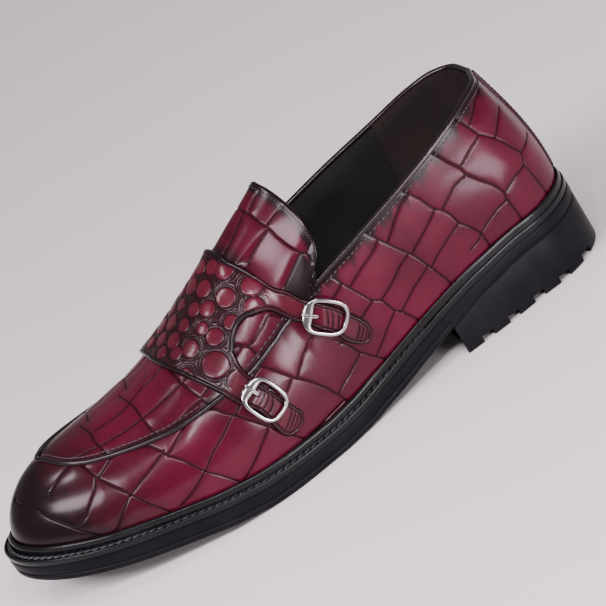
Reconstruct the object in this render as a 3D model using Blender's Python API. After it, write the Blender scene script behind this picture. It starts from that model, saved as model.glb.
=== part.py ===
"""Buckle loafer, left shoe: sole unit, welt, hollow upper, tongue, saddle strap and buckles.

Shoe coordinates are millimetres: s runs from the back of the heel to the toe, w from the
centre line to the outer side, z up from the floor. place() turns them into world metres:
the toe points to -Y and the outer side to +X, so this is a left shoe.
"""
import math

import bmesh
import bpy
import numpy as np

MM = 0.001

# ---- driving sizes, millimetres --------------------------------------------------------
LENGTH = 305.0          # outsole, heel to toe
HEEL_ROUND = 34.0       # length of the round heel end of the outline
TOE_ROUND = 45.0        # length of the round toe end
HEEL_LENGTH = 83.0      # heel block, back to breast
BREAST_BOW = 5.0        # how far the breast curves back at its middle
WALL = 2.0              # upper: leather and lining together
WELT_THICK = 2.6        # welt ring, under its lip
GAP = 0.3               # air between two pieces
SIDE_STEPS = 44         # columns on each side of the shoe

# ---- the sole's outline and height, a row per section ----------------------------------
# s, half width on the outer side, on the inner side, height of the welt's lip, and height
# of the sole's lower line: the arch's edge, which goes on round the heel as a side ridge
SOLE_NAMES = ("s", "outer", "inner", "lip", "line")
SOLE_ROWS = (
    (0, 30.0, 30.0, 33.0, 24.0),
    (35, 31.5, 32.5, 32.4, 23.4),
    (60, 35.5, 33.5, 30.5, 20.6),
    (83, 37.6, 31.0, 26.0, 14.6),
    (100, 38.8, 29.0, 21.6, 9.8),
    (122, 41.0, 28.6, 15.8, 3.6),
    (140, 45.2, 30.8, 12.7, 0.6),
    (155, 49.4, 34.6, 12.0, 0.0),
    (188, 54.6, 45.6, 12.6, 0.0),
    (210, 55.0, 50.0, 15.2, 2.4),
    (230, 52.2, 50.2, 18.4, 5.8),
    (250, 47.8, 47.0, 21.6, 9.0),
    (270, 42.4, 42.0, 25.0, 12.6),
    (290, 38.4, 37.4, 28.4, 16.4),
    (305, 36.5, 35.0, 31.0, 19.6),
)

# ---- the last, a row per column of the upper --------------------------------------------
# s of the column's foot on the lip, how far the upper stands in from the lip; the column's
# end on the topline, throat or ridge: its s, its half widths and heights outside and inside;
# flare out at the foot and lean in at the end, degrees; the curve's two handles
LAST_NAMES = ("s", "inset", "end_s", "outer_w", "inner_w", "outer_z", "inner_z",
              "flare", "lean", "rise", "reach")
LAST_ROWS = (
    (0, 3.0, 11.5, 0.0, 0.0, 99.0, 99.0, 9, 16, 0.36, 0.36),
    (8, 3.0, 14.5, 13.5, 13.5, 99.2, 99.6, 9, 15, 0.36, 0.36),
    (22, 3.1, 22.5, 21.5, 21.0, 98.0, 99.6, 9, 14, 0.36, 0.36),
    (40, 3.3, 36.0, 27.5, 26.0, 94.0, 97.5, 9, 12, 0.36, 0.36),
    (60, 3.6, 56.0, 31.5, 29.0, 88.0, 93.0, 9, 10, 0.36, 0.36),
    (90, 4.2, 89.0, 34.0, 30.0, 79.0, 87.0, 8, 10, 0.36, 0.36),
    (115, 4.8, 115.0, 34.5, 29.5, 72.5, 82.0, 6, 20, 0.385, 0.18),
    (132, 5.2, 131.0, 34.0, 28.5, 69.0, 79.0, 5, 20, 0.475, 0.13),
    (142, 5.4, 139.5, 23.8, 20.3, 80.3, 85.3, 5, 56, 0.58, 0.16),
    (152, 5.6, 149.5, 0.0, 0.0, 97.2, 97.2, 6, 90, 0.555, 0.455),
    (164, 5.9, 161.0, 0.0, 0.0, 90.8, 90.8, 6, 90, 0.60, 0.46),
    (175, 6.0, 171.0, 0.0, 0.0, 85.0, 85.0, 7, 90, 0.52, 0.60),
    (190, 6.1, 184.0, 0.0, 0.0, 77.6, 77.6, 8, 90, 0.54, 0.62),
    (205, 6.2, 197.0, 0.0, 0.0, 71.2, 71.2, 8, 90, 0.55, 0.64),
    (220, 6.3, 209.5, 0.0, 0.0, 66.6, 66.6, 9, 90, 0.55, 0.64),
    (240, 6.4, 225.0, 0.0, 0.0, 63.6, 63.6, 9, 90, 0.55, 0.62),
    (260, 6.5, 239.0, 0.0, 0.0, 62.2, 62.2, 9, 90, 0.54, 0.60),
    (280, 6.6, 252.0, 0.0, 0.0, 61.7, 61.7, 8, 90, 0.52, 0.56),
    (305, 6.6, 263.0, 0.0, 0.0, 61.0, 61.0, 6, 90, 0.48, 0.54),
)


def smooth(xs, ys, x):
    """A curve through the points (xs, ys) that doesn't overshoot, read at x."""
    xs, ys, x = (np.asarray(v, float) for v in (xs, ys, x))
    step = np.diff(xs)
    rise = np.diff(ys) / step
    slope = np.zeros_like(ys)
    same = rise[1:] * rise[:-1] > 0
    near = (2 * step[1:] + step[:-1])[same]
    far = (step[1:] + 2 * step[:-1])[same]
    slope[1:-1][same] = (near + far) / (near / rise[:-1][same] + far / rise[1:][same])
    slope[0], slope[-1] = rise[0], rise[-1]
    k = np.clip(np.searchsorted(xs, x) - 1, 0, len(step) - 1)
    h = step[k]
    t = (x - xs[k]) / h
    value = ys[k] * (1 + 2 * t) * (1 - t) ** 2 + ys[k + 1] * t * t * (3 - 2 * t)
    return value + slope[k] * h * t * (1 - t) ** 2 + slope[k + 1] * h * t * t * (t - 1)


def columns(names, rows):
    """A table of rows as a dictionary of named columns."""
    return {name: np.array(column, float) for name, column in zip(names, zip(*rows))}


SOLE = columns(SOLE_NAMES, SOLE_ROWS)
LAST = columns(LAST_NAMES, LAST_ROWS)


def along(turn):
    """The s of a place on the outline: turn is 0 at the heel, 1 at the toe, 2 at the heel."""
    return LENGTH / 2 * (1 - np.cos(np.pi * np.asarray(turn, float)))


def turn_at(s):
    """The turn of a place s on the outer side."""
    return np.arccos(1 - 2 * np.asarray(s, float) / LENGTH) / np.pi


def end_round(share):
    """1 over the straight sides, falling to 0 as a quarter ellipse at a round end."""
    return np.sqrt(np.clip(1 - (1 - np.clip(share, 0, 1)) ** 2, 0, 1))


def is_outer(turn):
    return np.mod(turn, 2) <= 1


def edge(turn):
    """The sole's outline, outer side out and inner side back, as (s, w)."""
    s = along(turn)
    half = np.where(is_outer(turn), smooth(SOLE["s"], SOLE["outer"], s),
                    smooth(SOLE["s"], SOLE["inner"], s))
    half = half * end_round(s / HEEL_ROUND) * end_round((LENGTH - s) / TOE_ROUND)
    return np.stack([s, np.where(is_outer(turn), half, -half)], -1)


def outward(turn):
    """Unit normal of the outline, pointing away from the shoe, as (s, w)."""
    small = 0.004
    d = edge(turn + small) - edge(turn - small)
    n = np.stack([-d[..., 1], d[..., 0]], -1)
    return n / np.linalg.norm(n, axis=-1, keepdims=True)


def sole_height(name, turn):
    return smooth(SOLE["s"], SOLE[name], along(turn))


def last(name, turn):
    return smooth(LAST["s"], LAST[name], along(turn))


def last_side(name, turn):
    """A value of the last that differs between the outer and the inner side."""
    return np.where(is_outer(turn), last("outer_" + name, turn), last("inner_" + name, turn))


def feather(turn):
    """Where the upper meets the sole, as (s, w)."""
    return edge(turn) - outward(turn) * last("inset", turn)[..., None]


def skin(turn, t):
    """The upper's outer surface: one cubic curve per column, t 0 at its foot, 1 at its end."""
    turn, t = np.broadcast_arrays(np.asarray(turn, float), np.asarray(t, float))
    out = outward(turn)
    foot = feather(turn)
    foot_z = sole_height("lip", turn) - WELT_THICK
    side = np.where(is_outer(turn), 1.0, -1.0)
    end = np.stack([last("end_s", turn), side * last_side("w", turn)], -1)
    end_z = last_side("z", turn)
    flare = np.radians(last("flare", turn))
    lean = np.radians(last("lean", turn))
    height = end_z - foot_z
    inward = end - foot - 20 * out
    inward = inward / np.linalg.norm(inward, axis=-1, keepdims=True)
    width = np.linalg.norm(end - foot, axis=-1)
    first = last("rise", turn) * height
    second = last("reach", turn) * (width * np.sin(lean) + height * np.cos(lean))
    p0 = np.concatenate([foot, foot_z[..., None]], -1)
    p3 = np.concatenate([end, end_z[..., None]], -1)
    p1 = p0 + np.concatenate([out * (first * np.sin(flare))[..., None],
                              (first * np.cos(flare))[..., None]], -1)
    p2 = p3 - np.concatenate([inward * (second * np.sin(lean))[..., None],
                              (second * np.cos(lean))[..., None]], -1)
    t = t[..., None]
    return p0 * (1 - t) ** 3 + 3 * p1 * t * (1 - t) ** 2 + 3 * p2 * t * t * (1 - t) + p3 * t ** 3


def skin_normal(turn, t):
    """Unit normal of the upper's surface, outwards."""
    t = np.clip(t, 0.002, 0.992)
    across = skin(turn + 0.003, t) - skin(turn - 0.003, t)
    up = skin(turn, t + 0.004) - skin(turn, t - 0.004)
    n = np.cross(up, across)
    return n / np.linalg.norm(n, axis=-1, keepdims=True)


def skin_over(turn, t, lift):
    """A point lifted off the upper's surface."""
    return skin(turn, t) + skin_normal(turn, t) * np.asarray(lift, float)[..., None]


# ---- nodes ---------------------------------------------------------------------------------
# Colour, roughness and metallic value of each material
MATERIALS = {
    "burgundy_leather": ((0.20, 0.012, 0.035), 0.28, 0.0),
    "strap_leather": ((0.13, 0.010, 0.028), 0.26, 0.0),
    "lining_leather": ((0.012, 0.011, 0.014), 0.60, 0.0),
    "black_rubber": ((0.018, 0.018, 0.021), 0.50, 0.0),
    "welt_rubber": ((0.012, 0.012, 0.014), 0.32, 0.0),
    "nickel": ((0.62, 0.61, 0.59), 0.16, 1.0),
}

# The world's origin: under the middle of the box round the sole
SIDE_TURNS = turn_at(np.linspace(0, LENGTH, 400))
MID_S = LENGTH / 2
MID_W = (edge(SIDE_TURNS)[:, 1].max() + edge(2 - SIDE_TURNS)[:, 1].min()) / 2


def place(points):
    """Shoe millimetres (s, w, z) as world metres."""
    points = np.asarray(points, float)
    return np.stack([points[..., 1] - MID_W, MID_S - points[..., 0], points[..., 2]], -1) * MM


def make_node(name, points, faces, material):
    """One mesh object from shoe points and faces, doubles merged and faces turned outwards."""
    mesh = bpy.data.meshes.new(name)
    mesh.from_pydata([tuple(p) for p in place(np.reshape(points, (-1, 3)))], [], faces)
    bm = bmesh.new()
    bm.from_mesh(mesh)
    bmesh.ops.remove_doubles(bm, verts=bm.verts, dist=0.00002)
    bmesh.ops.recalc_face_normals(bm, faces=bm.faces)
    bm.to_mesh(mesh)
    bm.free()
    node = bpy.data.objects.new(name, mesh)
    bpy.context.scene.collection.objects.link(node)
    node.data.materials.append(bpy.data.materials[material])
    return node


def make_materials():
    for name, (colour, roughness, metallic) in MATERIALS.items():
        material = bpy.data.materials.new(name)
        material.use_nodes = True
        shader = material.node_tree.nodes["Principled BSDF"]
        shader.inputs["Base Color"].default_value = (*colour, 1)
        shader.inputs["Roughness"].default_value = roughness
        shader.inputs["Metallic"].default_value = metallic


def grid_faces(nu, nv, wrap_u=False, wrap_v=False, first=0):
    """Quads of a grid of nu by nv points, numbered row by row from first."""
    faces = []
    for i in range(nu if wrap_u else nu - 1):
        for j in range(nv if wrap_v else nv - 1):
            a, b = (i + 1) % nu, (j + 1) % nv
            faces.append((first + i * nv + j, first + a * nv + j,
                          first + a * nv + b, first + i * nv + b))
    return faces


def thick_faces(faces, count):
    """Faces of a plate from the faces of its outer skin: the inner skin, numbered count
    further on, and a rim along each edge that only one face has."""
    used = {}
    for face in faces:
        for a, b in zip(face, face[1:] + face[:1]):
            used[frozenset((a, b))] = used.get(frozenset((a, b)), 0) + 1
    inner = [tuple(v + count for v in reversed(face)) for face in faces]
    rim = [(b, a, a + count, b + count) for face in faces
           for a, b in zip(face, face[1:] + face[:1]) if used[frozenset((a, b))] == 1]
    return list(faces) + inner + rim


def ring_turns(extra=()):
    """Turns of the columns round the shoe, the same on both sides, heel first. Columns at
    the extra turns take the place of even ones that are too close to them."""
    side = np.linspace(0, 1, SIDE_STEPS + 1)
    for turn in extra:
        side = side[np.abs(side - turn) > 0.5 / SIDE_STEPS]
    side = np.sort(np.concatenate([side, extra]))
    return np.concatenate([side, 2 - side[-2:0:-1]])


def closed_loft(name, turns, rings, material, across=3, bow=None):
    """A solid from rings, top first, with a grid of across points per column in its caps."""
    rings = np.asarray(rings)
    count = len(turns)
    half = count // 2
    sides = grid_faces(len(rings), count, wrap_v=True)
    points = [rings.reshape(-1, 3)]
    faces = list(sides)
    used = rings.shape[0] * count
    share = np.linspace(0, 1, across + 2)[1:-1]
    for row, first in ((rings[0], 0), (rings[-1], (len(rings) - 1) * count)):
        left, right = row[1:half], row[:half:-1]
        inner = left[:, None] * (1 - share)[:, None] + right[:, None] * share[:, None]
        if bow is not None and first:
            inner[..., 0] -= bow(left, share)
        points.append(inner.reshape(-1, 3))
        lines = [[first + i, *(used + (i - 1) * across + k for k in range(across)),
                  first + count - i] for i in range(1, half)]
        used += inner.shape[0] * across
        for near, far in zip(lines, lines[1:]):
            faces += [(near[k], near[k + 1], far[k + 1], far[k]) for k in range(across + 1)]
        faces += [(lines[0][k + 1], lines[0][k], first) for k in range(across + 1)]
        faces += [(lines[-1][k], lines[-1][k + 1], first + half) for k in range(across + 1)]
    return make_node(name, np.concatenate(points), faces, material)


def cut(node, cutter):
    """Cuts a hidden cutter out of a node."""
    cutter.hide_render = True
    cutter.display_type = "WIRE"
    cutter.hide_set(True)
    modifier = node.modifiers.new("cut", "BOOLEAN")
    modifier.operation = "DIFFERENCE"
    modifier.solver = "EXACT"
    modifier.object = cutter


def box_points(low, high):
    return [(x, y, z) for x in (low[0], high[0]) for y in (low[1], high[1])
            for z in (low[2], high[2])]


BOX_FACES = [(0, 1, 3, 2), (4, 6, 7, 5), (0, 4, 5, 1), (2, 3, 7, 6), (0, 2, 6, 4), (1, 5, 7, 3)]

# ---- outsole: forefoot, arch and heel moulded in one ----------------------------------------
# The side's steps from the top down: how far each stands in from the outline, which level
# it is measured from, and its height over that level
SIDE_NAMES = ("inset", "level", "over")
SIDE_PROFILE = (
    (0.6, "lip", -WELT_THICK - GAP),
    (0.6, "lip", -WELT_THICK - GAP - 0.5),
    (0.0, "lip", -WELT_THICK - GAP - 0.9),
    (0.0, "ridge", 1.6),
    (0.5, "ridge", 0.7),
    (0.5, "ridge", 0.1),
    (0.1, "ridge", -0.7),
    (0.3, "tread", 1.2),
    (1.4, "tread", 0.0),
)
RIDGE_OVER_TREAD = 3.4  # forefoot: the groove in the side, over the tread
LUG_COUNT = 6
LUG_NOTCH = 6.0         # length of a notch between two heel lugs
LUG_DEPTH = 3.4         # height of the notches
LUG_WEB = 16.0          # half width of the web that joins the lugs
BREAST_SLOPE = 0.3      # half the breast's run in s, so its two sections don't coincide


def make_outsole():
    breast = [turn_at(HEEL_LENGTH - BREAST_SLOPE), turn_at(HEEL_LENGTH + BREAST_SLOPE)]
    turns = ring_turns(breast)
    on_heel = along(turns) < HEEL_LENGTH
    line = sole_height("line", turns)
    levels = {"lip": sole_height("lip", turns), "tread": np.where(on_heel, 0, line),
              "ridge": np.where(on_heel, line, line + RIDGE_OVER_TREAD)}
    rings = []
    for inset, level, over in SIDE_PROFILE:
        outline = edge(turns) - outward(turns) * inset
        rings.append(np.column_stack([outline, levels[level] + over]))

    def breast_bow(left, share):
        near = np.abs(left[:, 0] - HEEL_LENGTH) < 2
        return np.outer(near, BREAST_BOW * 4 * share * (1 - share))

    sole = closed_loft("outsole", turns, rings, "black_rubber", bow=breast_bow)
    points, faces = [], []
    pitch = (HEEL_LENGTH + LUG_NOTCH) / LUG_COUNT
    for k in range(1, LUG_COUNT):
        s = k * pitch - LUG_NOTCH
        for low, high in ((-60, -LUG_WEB), (LUG_WEB, 60)):
            faces += [tuple(v + len(points) for v in face) for face in BOX_FACES]
            points += box_points((s, low, -5), (s + LUG_NOTCH, high, LUG_DEPTH))
    cut(sole, make_node("lug_cutter", points, faces, "black_rubber"))


# ---- welt: rand bead against the upper, recessed channel, thin lip ---------------------------
BEAD_SHARE = 0.34       # bead width as a share of the welt's width
BEAD_HEIGHT = 4.0
CHANNEL_DEPTH = 1.0


def make_welt():
    turns = ring_turns()
    lip = sole_height("lip", turns)
    width = last("inset", turns)
    foot = feather(turns)
    out = outward(turns)
    t = np.linspace(0, 0.3, 31)
    wall = skin(turns[:, None], t[None])
    reach = ((wall[..., :2] - foot[:, None]) * out[:, None]).sum(-1)
    top = [np.interp(z + BEAD_HEIGHT, w[:, 2], r) for z, w, r in zip(lip, wall, reach)]
    inner = np.array(top) + GAP
    bead = BEAD_SHARE * width
    profile = (
        (np.full_like(width, GAP), -WELT_THICK),
        (inner, BEAD_HEIGHT - 0.7),
        (inner + 0.3 * bead, BEAD_HEIGHT),
        (inner + 0.75 * bead, BEAD_HEIGHT - 0.7),
        (inner + bead, BEAD_HEIGHT - 2.2),
        (inner + 1.05 * bead, -CHANNEL_DEPTH),
        (0.80 * width, -CHANNEL_DEPTH),
        (0.86 * width, -0.1),
        (0.95 * width, 0),
        (width, -0.35),
        (width, -WELT_THICK),
    )
    rings = [np.column_stack([foot + out * from_foot[:, None], lip + over])
             for from_foot, over in profile]
    faces = grid_faces(len(rings), len(turns), wrap_u=True, wrap_v=True)
    make_node("welt", np.array(rings), faces, "welt_rubber")


# ---- upper: one hollow wall with a raised apron seam -------------------------------------------
# s of the column's foot, and where the seam crosses that column: 0 at the foot, 1 at the end.
# Behind the throat the same rows of the mesh run just under the topline.
SEAM_NAMES = ("s", "t")
SEAM_ROWS = (
    (0, 0.95), (120, 0.94), (132, 0.93), (136, 0.78), (140, 0.64), (143, 0.548), (146, 0.473),
    (148, 0.435), (150, 0.404), (153, 0.386), (158, 0.378), (164, 0.374), (168.8, 0.388),
    (172, 0.403), (180, 0.423), (190, 0.442), (200, 0.459), (212, 0.485), (225, 0.517),
    (240, 0.557), (254, 0.602), (265, 0.644), (275, 0.697), (289, 0.795), (297, 0.85), (305, 0.885),
)
SEAM = columns(SEAM_NAMES, SEAM_ROWS)
SEAM_HALF = 1.7         # half width of the raised seam
SEAM_RISE = 0.9
SEAM_START = 142.0      # hidden under the strap, where the raised seam begins to stand up
THROAT_S = 152.0        # foot of the column whose end is the throat's top
CORNER_S = 132.0        # foot of the column at the topline's front corner
THROAT_STEPS = 7
ROWS_BELOW = 7
ROWS_ABOVE = 4


def column_length(turn):
    path = skin(turn[:, None], np.linspace(0, 1, 25)[None])
    return np.linalg.norm(np.diff(path, axis=1), axis=-1).sum(1)


def make_upper():
    turns = ring_turns(turn_at(np.linspace(CORNER_S, THROAT_S, THROAT_STEPS + 1)))
    seam = smooth(SEAM["s"], SEAM["t"], along(turns))
    half = SEAM_HALF / column_length(turns)
    below = np.linspace(0, 1, ROWS_BELOW)[None] * (seam - half)[:, None]
    start = np.minimum(seam + half, 0.985)
    above = start[:, None] + np.linspace(0, 1, ROWS_ABOVE)[None] * (1 - start)[:, None]
    t = np.concatenate([below, seam[:, None], above], 1)
    lift = np.zeros_like(t)
    lift[:, ROWS_BELOW] = SEAM_RISE * np.clip((along(turns) - SEAM_START) / 6, 0, 1)
    turn = np.broadcast_to(turns[:, None], t.shape)
    outer = skin_over(turn, t, lift)
    inner = skin_over(turn, t, -WALL)
    outer[:, -1] = skin(turns, 1.0)
    rows = t.shape[1]
    count = len(turns) * rows
    skin_faces = grid_faces(len(turns), rows, wrap_u=True)
    faces = thick_faces(skin_faces, count)
    closed = {k for k, s in enumerate(along(turns)) if s > THROAT_S - 0.5}
    inner[list(closed), -1] = skin(turns, 1.0)[list(closed)]
    inner[list(closed), -1, 2] -= WALL
    tops = {k * rows + rows - 1 for k in closed}
    tops |= {v + count for v in tops}
    faces = [face for face in faces if not set(face) <= tops]
    make_node("upper", np.concatenate([outer.reshape(-1, 3), inner.reshape(-1, 3)]), faces,
              "burgundy_leather")


# ---- insole: a footbed inside the wall ---------------------------------------------------------
INSOLE_THICK = 3.0


def make_insole():
    turns = ring_turns()
    outline = feather(turns) - outward(turns) * (WALL + 2 * GAP)
    floor = sole_height("lip", turns) - WELT_THICK
    rings = [np.column_stack([outline, floor + over]) for over in (INSOLE_THICK, 0)]
    closed_loft("insole", turns, rings, "lining_leather", across=1)


# ---- tongue: the apron's free tab, from the throat up -------------------------------------------
# Places of the tab's free edge: e is 0 on the middle line and 1 at the throat's corner, on
# the outer and on the inner side
TONGUE_NAMES = ("e", "outer_s", "outer_w", "outer_z", "inner_s", "inner_w", "inner_z")
TONGUE_ROWS = (
    (0.0, 121.8, 0.0, 112.6, 121.8, 0.0, 112.6),
    (0.08, 121.4, 3.6, 112.2, 122.0, 3.5, 111.7),
    (0.2, 119.6, 9.0, 109.9, 122.0, 8.4, 108.8),
    (0.4, 116.8, 18.0, 103.0, 121.6, 16.2, 102.8),
    (0.6, 115.2, 25.0, 95.2, 121.0, 22.4, 96.4),
    (0.8, 115.6, 29.8, 86.4, 121.4, 26.0, 90.2),
    (0.9, 118.2, 32.4, 79.7, 124.0, 27.4, 84.6),
)
TONGUE = columns(TONGUE_NAMES, TONGUE_ROWS)
# Foot of the column that each e starts from at the throat
THROAT_ROWS = ((0.0, 152), (0.1, 149.6), (0.2, 147.9), (0.4, 145.0), (0.6, 141.5), (0.8, 137.0), (1.0, 132.0))
THROAT = columns(("e", "s"), THROAT_ROWS)
TONGUE_THICK = 2.2
TONGUE_REACH = 0.9      # how near the tab comes to the throat's corner
TONGUE_GAP = 0.8
TONGUE_STEPS = 28
TONGUE_RISES = 6


def make_tongue():
    e = np.linspace(-TONGUE_REACH, TONGUE_REACH, TONGUE_STEPS + 1)
    size = np.abs(e)
    turn = turn_at(smooth(THROAT["e"], THROAT["s"], size))
    base = skin(np.where(e >= 0, turn, 2 - turn), 1.0)
    outer, inner = [np.column_stack([smooth(TONGUE["e"], TONGUE[side + name], size)
                                     for name in "swz"]) for side in ("outer_", "inner_")]
    tip = np.where(e[:, None] >= 0, outer, inner * (1, -1, 1))
    gap = TONGUE_GAP / np.linalg.norm(tip - base, axis=1)
    u = gap[:, None] + np.linspace(0, 1, TONGUE_RISES + 1)[None] * (1 - gap)[:, None]
    outer = base[:, None] + (tip - base)[:, None] * u[..., None]
    across = np.gradient(outer, axis=0)
    up = np.gradient(outer, axis=1)
    normal = np.cross(across, up)
    normal /= np.linalg.norm(normal, axis=-1, keepdims=True)
    normal *= np.sign(normal[..., 2:])
    inner = outer - normal * TONGUE_THICK
    faces = grid_faces(TONGUE_STEPS + 1, TONGUE_RISES + 1)
    make_node("tongue", np.concatenate([outer.reshape(-1, 3), inner.reshape(-1, 3)]),
              thick_faces(faces, outer[..., 0].size), "burgundy_leather")


# ---- leather laid on the upper -------------------------------------------------------------------
def on_upper(places, lift):
    """Points over the upper from places (s, g): s of the column's foot and g, which is 0 at
    the column's end, 1 at its foot, and negative on the inner side."""
    places = np.asarray(places, float)
    turn = turn_at(places[..., 0])
    return skin_over(np.where(places[..., 1] >= 0, turn, 2 - turn), 1 - np.abs(places[..., 1]),
                     lift)


def make_leather(name, places, faces, lift, thick, material):
    """A plate that follows the upper, lift over it on its inner side."""
    lift = np.broadcast_to(lift, len(places))
    points = np.concatenate([on_upper(places, lift + thick), on_upper(places, lift)])
    return make_node(name, points, thick_faces(faces, len(places)), material)


# ---- saddle strap: a band over the instep, forked into two narrow straps -----------------------
# Each row is a line across the strap, from its rear edge to its front edge, as (s, g)
STRAP_NAMES = ("rear_s", "rear_g", "front_s", "front_g")
BAND_ROWS = (
    (170, -0.90, 203, -0.90),
    (168.5, -0.80, 203, -0.80),
    (167, -0.70, 203, -0.70),
    (165, -0.60, 203.7, -0.61),
    (163, -0.49, 205, -0.51),
    (160.8, -0.38, 206.5, -0.40),
    (158.8, -0.28, 208.3, -0.30),
    (157.3, -0.19, 210, -0.20),
    (156.2, -0.09, 211, -0.10),
    (155.5, 0.0, 211.5, 0.0),
    (154, 0.12, 208.5, 0.12),
    (152, 0.225, 203.5, 0.25),
    (149.7, 0.262, 198, 0.37),
)
FORK_ROW = (
    (147.5, 0.263), (150.2, 0.36), (153.3, 0.435), (156.5, 0.487), (160.5, 0.463), (165, 0.455),
    (169, 0.453), (173.5, 0.475), (178.3, 0.495), (183.8, 0.522), (189, 0.55),
)
REAR_STRAP_ROWS = (
    (144.5, 0.23, 151, 0.507),
    (141, 0.175, 147, 0.497),
    (137, 0.10, 143.3, 0.49),
    (133.3, 0.115, 139.4, 0.47),
    (128.2, 0.233, 134.5, 0.468),
    (123.3, 0.35, 130.5, 0.525),
    (119.5, 0.457, 128, 0.605),
    (116.3, 0.548, 124.5, 0.67),
    (114.5, 0.63, 120.5, 0.715),
    (115, 0.69, 118, 0.722),
)
FRONT_STRAP_ROWS = (
    (174.3, 0.54, 186.8, 0.598),
    (172.8, 0.61, 184.5, 0.64),
    (171.4, 0.655, 181.7, 0.683),
    (169.7, 0.698, 179.2, 0.72),
    (167.4, 0.748, 177.2, 0.773),
    (165, 0.80, 175.7, 0.83),
    (162.7, 0.84, 174.2, 0.872),
    (160.8, 0.877, 170.5, 0.905),
    (162.2, 0.902, 167, 0.915),
)
STRAP_THICK = 1.6
BAND_LIFT = 1.2         # clears the raised seam
REAR_LIFTS = (1.2, 1.2, 0.8, 0.8, 2.5, 1.5, 0.9, 0.6, 0.5, 0.5)
FRONT_LIFTS = (1.2, 1.0, 1.2, 2.5, 1.5, 0.9, 0.6, 0.5, 0.5)
CELLS_SIDE = 3          # cells across each narrow strap
CELLS_BAND = 10         # cells across the band


def cross_rows(rows, cells):
    """Points of each row of a table, spread evenly from its rear to its front edge."""
    rows = np.array(rows, float)
    share = np.linspace(0, 1, cells + 1)[None, :, None]
    return rows[:, None, :2] * (1 - share) + rows[:, None, 2:] * share


def make_strap():
    band = np.concatenate([cross_rows(BAND_ROWS, CELLS_BAND), [FORK_ROW]])
    width = CELLS_BAND + 1
    faces = grid_faces(len(band), width)
    places, lifts = [band.reshape(-1, 2)], [np.full(band[..., 0].size, BAND_LIFT)]
    used = band[..., 0].size
    fork = used - width
    side = CELLS_SIDE + 1
    for rows, more, first in ((REAR_STRAP_ROWS, REAR_LIFTS, fork),
                              (FRONT_STRAP_ROWS, FRONT_LIFTS, fork + CELLS_BAND - CELLS_SIDE)):
        strap = cross_rows(rows, CELLS_SIDE)
        numbers = np.concatenate([np.arange(first, first + side)[None],
                                  used + np.arange(len(rows) * side).reshape(-1, side)])
        faces += [(a[k], b[k], b[k + 1], a[k + 1]) for a, b in
                  zip(numbers.tolist(), numbers[1:].tolist()) for k in range(CELLS_SIDE)]
        places.append(strap.reshape(-1, 2))
        lifts.append(np.repeat(more, side))
        used += len(rows) * side
    make_leather("saddle_strap", np.concatenate(places), faces, np.concatenate(lifts),
                 STRAP_THICK, "strap_leather")


# ---- back strip: covers the seam down the heel --------------------------------------------------
STRIP_THICK = 0.6
STRIP_HALF = 0.030      # half width, in turns
STRIP_FOOT = 0.11       # clear of the welt's bead
STRIP_TOP = 0.985


def make_back_strip():
    turn = np.linspace(-STRIP_HALF, STRIP_HALF, 5)[:, None]
    t = np.linspace(STRIP_FOOT, STRIP_TOP, 13)[None]
    lift = np.full((5, 13), GAP)
    points = np.concatenate([skin_over(*np.broadcast_arrays(turn, t), lift + STRIP_THICK),
                             skin_over(*np.broadcast_arrays(turn, t), lift)])
    make_node("back_strip", points, thick_faces(grid_faces(5, 13), 65), "burgundy_leather")


# ---- buckles: a rounded ring with a bar under the strap, and a short prong ---------------------
# Middle of the ring and a place on its long axis nearer the strap's tip, as (s, g)
BUCKLES = (
    ("rear", (130.5, 0.357), (123.4, 0.463)),
    ("front", (173.6, 0.71), (170.0, 0.80)),
)
RING_HALF = (9.7, 7.4)  # middle of the ring's bar, along the strap and across it
RING_SQUARE = 3.0       # 2 is an ellipse, more is squarer
RING_BAR = 0.9          # half the bar's height and usual width
RING_WIDE = 2.0         # half its width on the instep side
RING_LIFT = 4.3         # middle of the bar over the upper
PIN_RADIUS = 0.6
PIN_LIFT = 1.1
# Prong, from the bar it rests on to its hole: along the ring, half width, underside, height
PRONG_ROWS = (
    (-11.4, 0.5, 5.3, 0.5),
    (-10.8, 0.8, 5.4, 0.9),
    (-7.6, 0.9, 5.4, 1.0),
    (-5.4, 0.9, 4.9, 1.0),
    (-3.4, 0.6, 4.5, 0.6),
)
RING_STEPS = 32
BAR_STEPS = 8


def buckle_bed(middle, toward):
    """Axes of a buckle and the height of the upper over its plane, as a quadratic."""
    centre, ahead = on_upper([middle, toward], np.zeros(2))
    turn = float(turn_at(middle[0]))
    normal = skin_normal(np.array(turn), np.array(1 - middle[1]))
    along_axis = ahead - centre
    along_axis -= normal * along_axis.dot(normal)
    along_axis /= np.linalg.norm(along_axis)
    axes = np.stack([along_axis, np.cross(normal, along_axis), normal])
    turns, t = np.meshgrid(turn + np.linspace(-0.05, 0.05, 21),
                           np.clip(1 - middle[1] + np.linspace(-0.22, 0.22, 21), 0, 1))
    x, y, h = ((skin(turns, t) - centre) @ axes.T).reshape(-1, 3).T
    near = np.hypot(x, y) < 13
    x, y, h = x[near], y[near], h[near]
    fit = np.linalg.lstsq(np.column_stack([x * x, x * y, y * y, x, y]), h, rcond=None)[0]

    def lifted(x, y, lift):
        bed = fit[0] * x * x + fit[1] * x * y + fit[2] * y * y + fit[3] * x + fit[4] * y
        return centre + np.stack([x, y, bed + lift], -1) @ axes

    return lifted


def power(value, exponent):
    return np.sign(value) * np.abs(value) ** exponent


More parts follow.
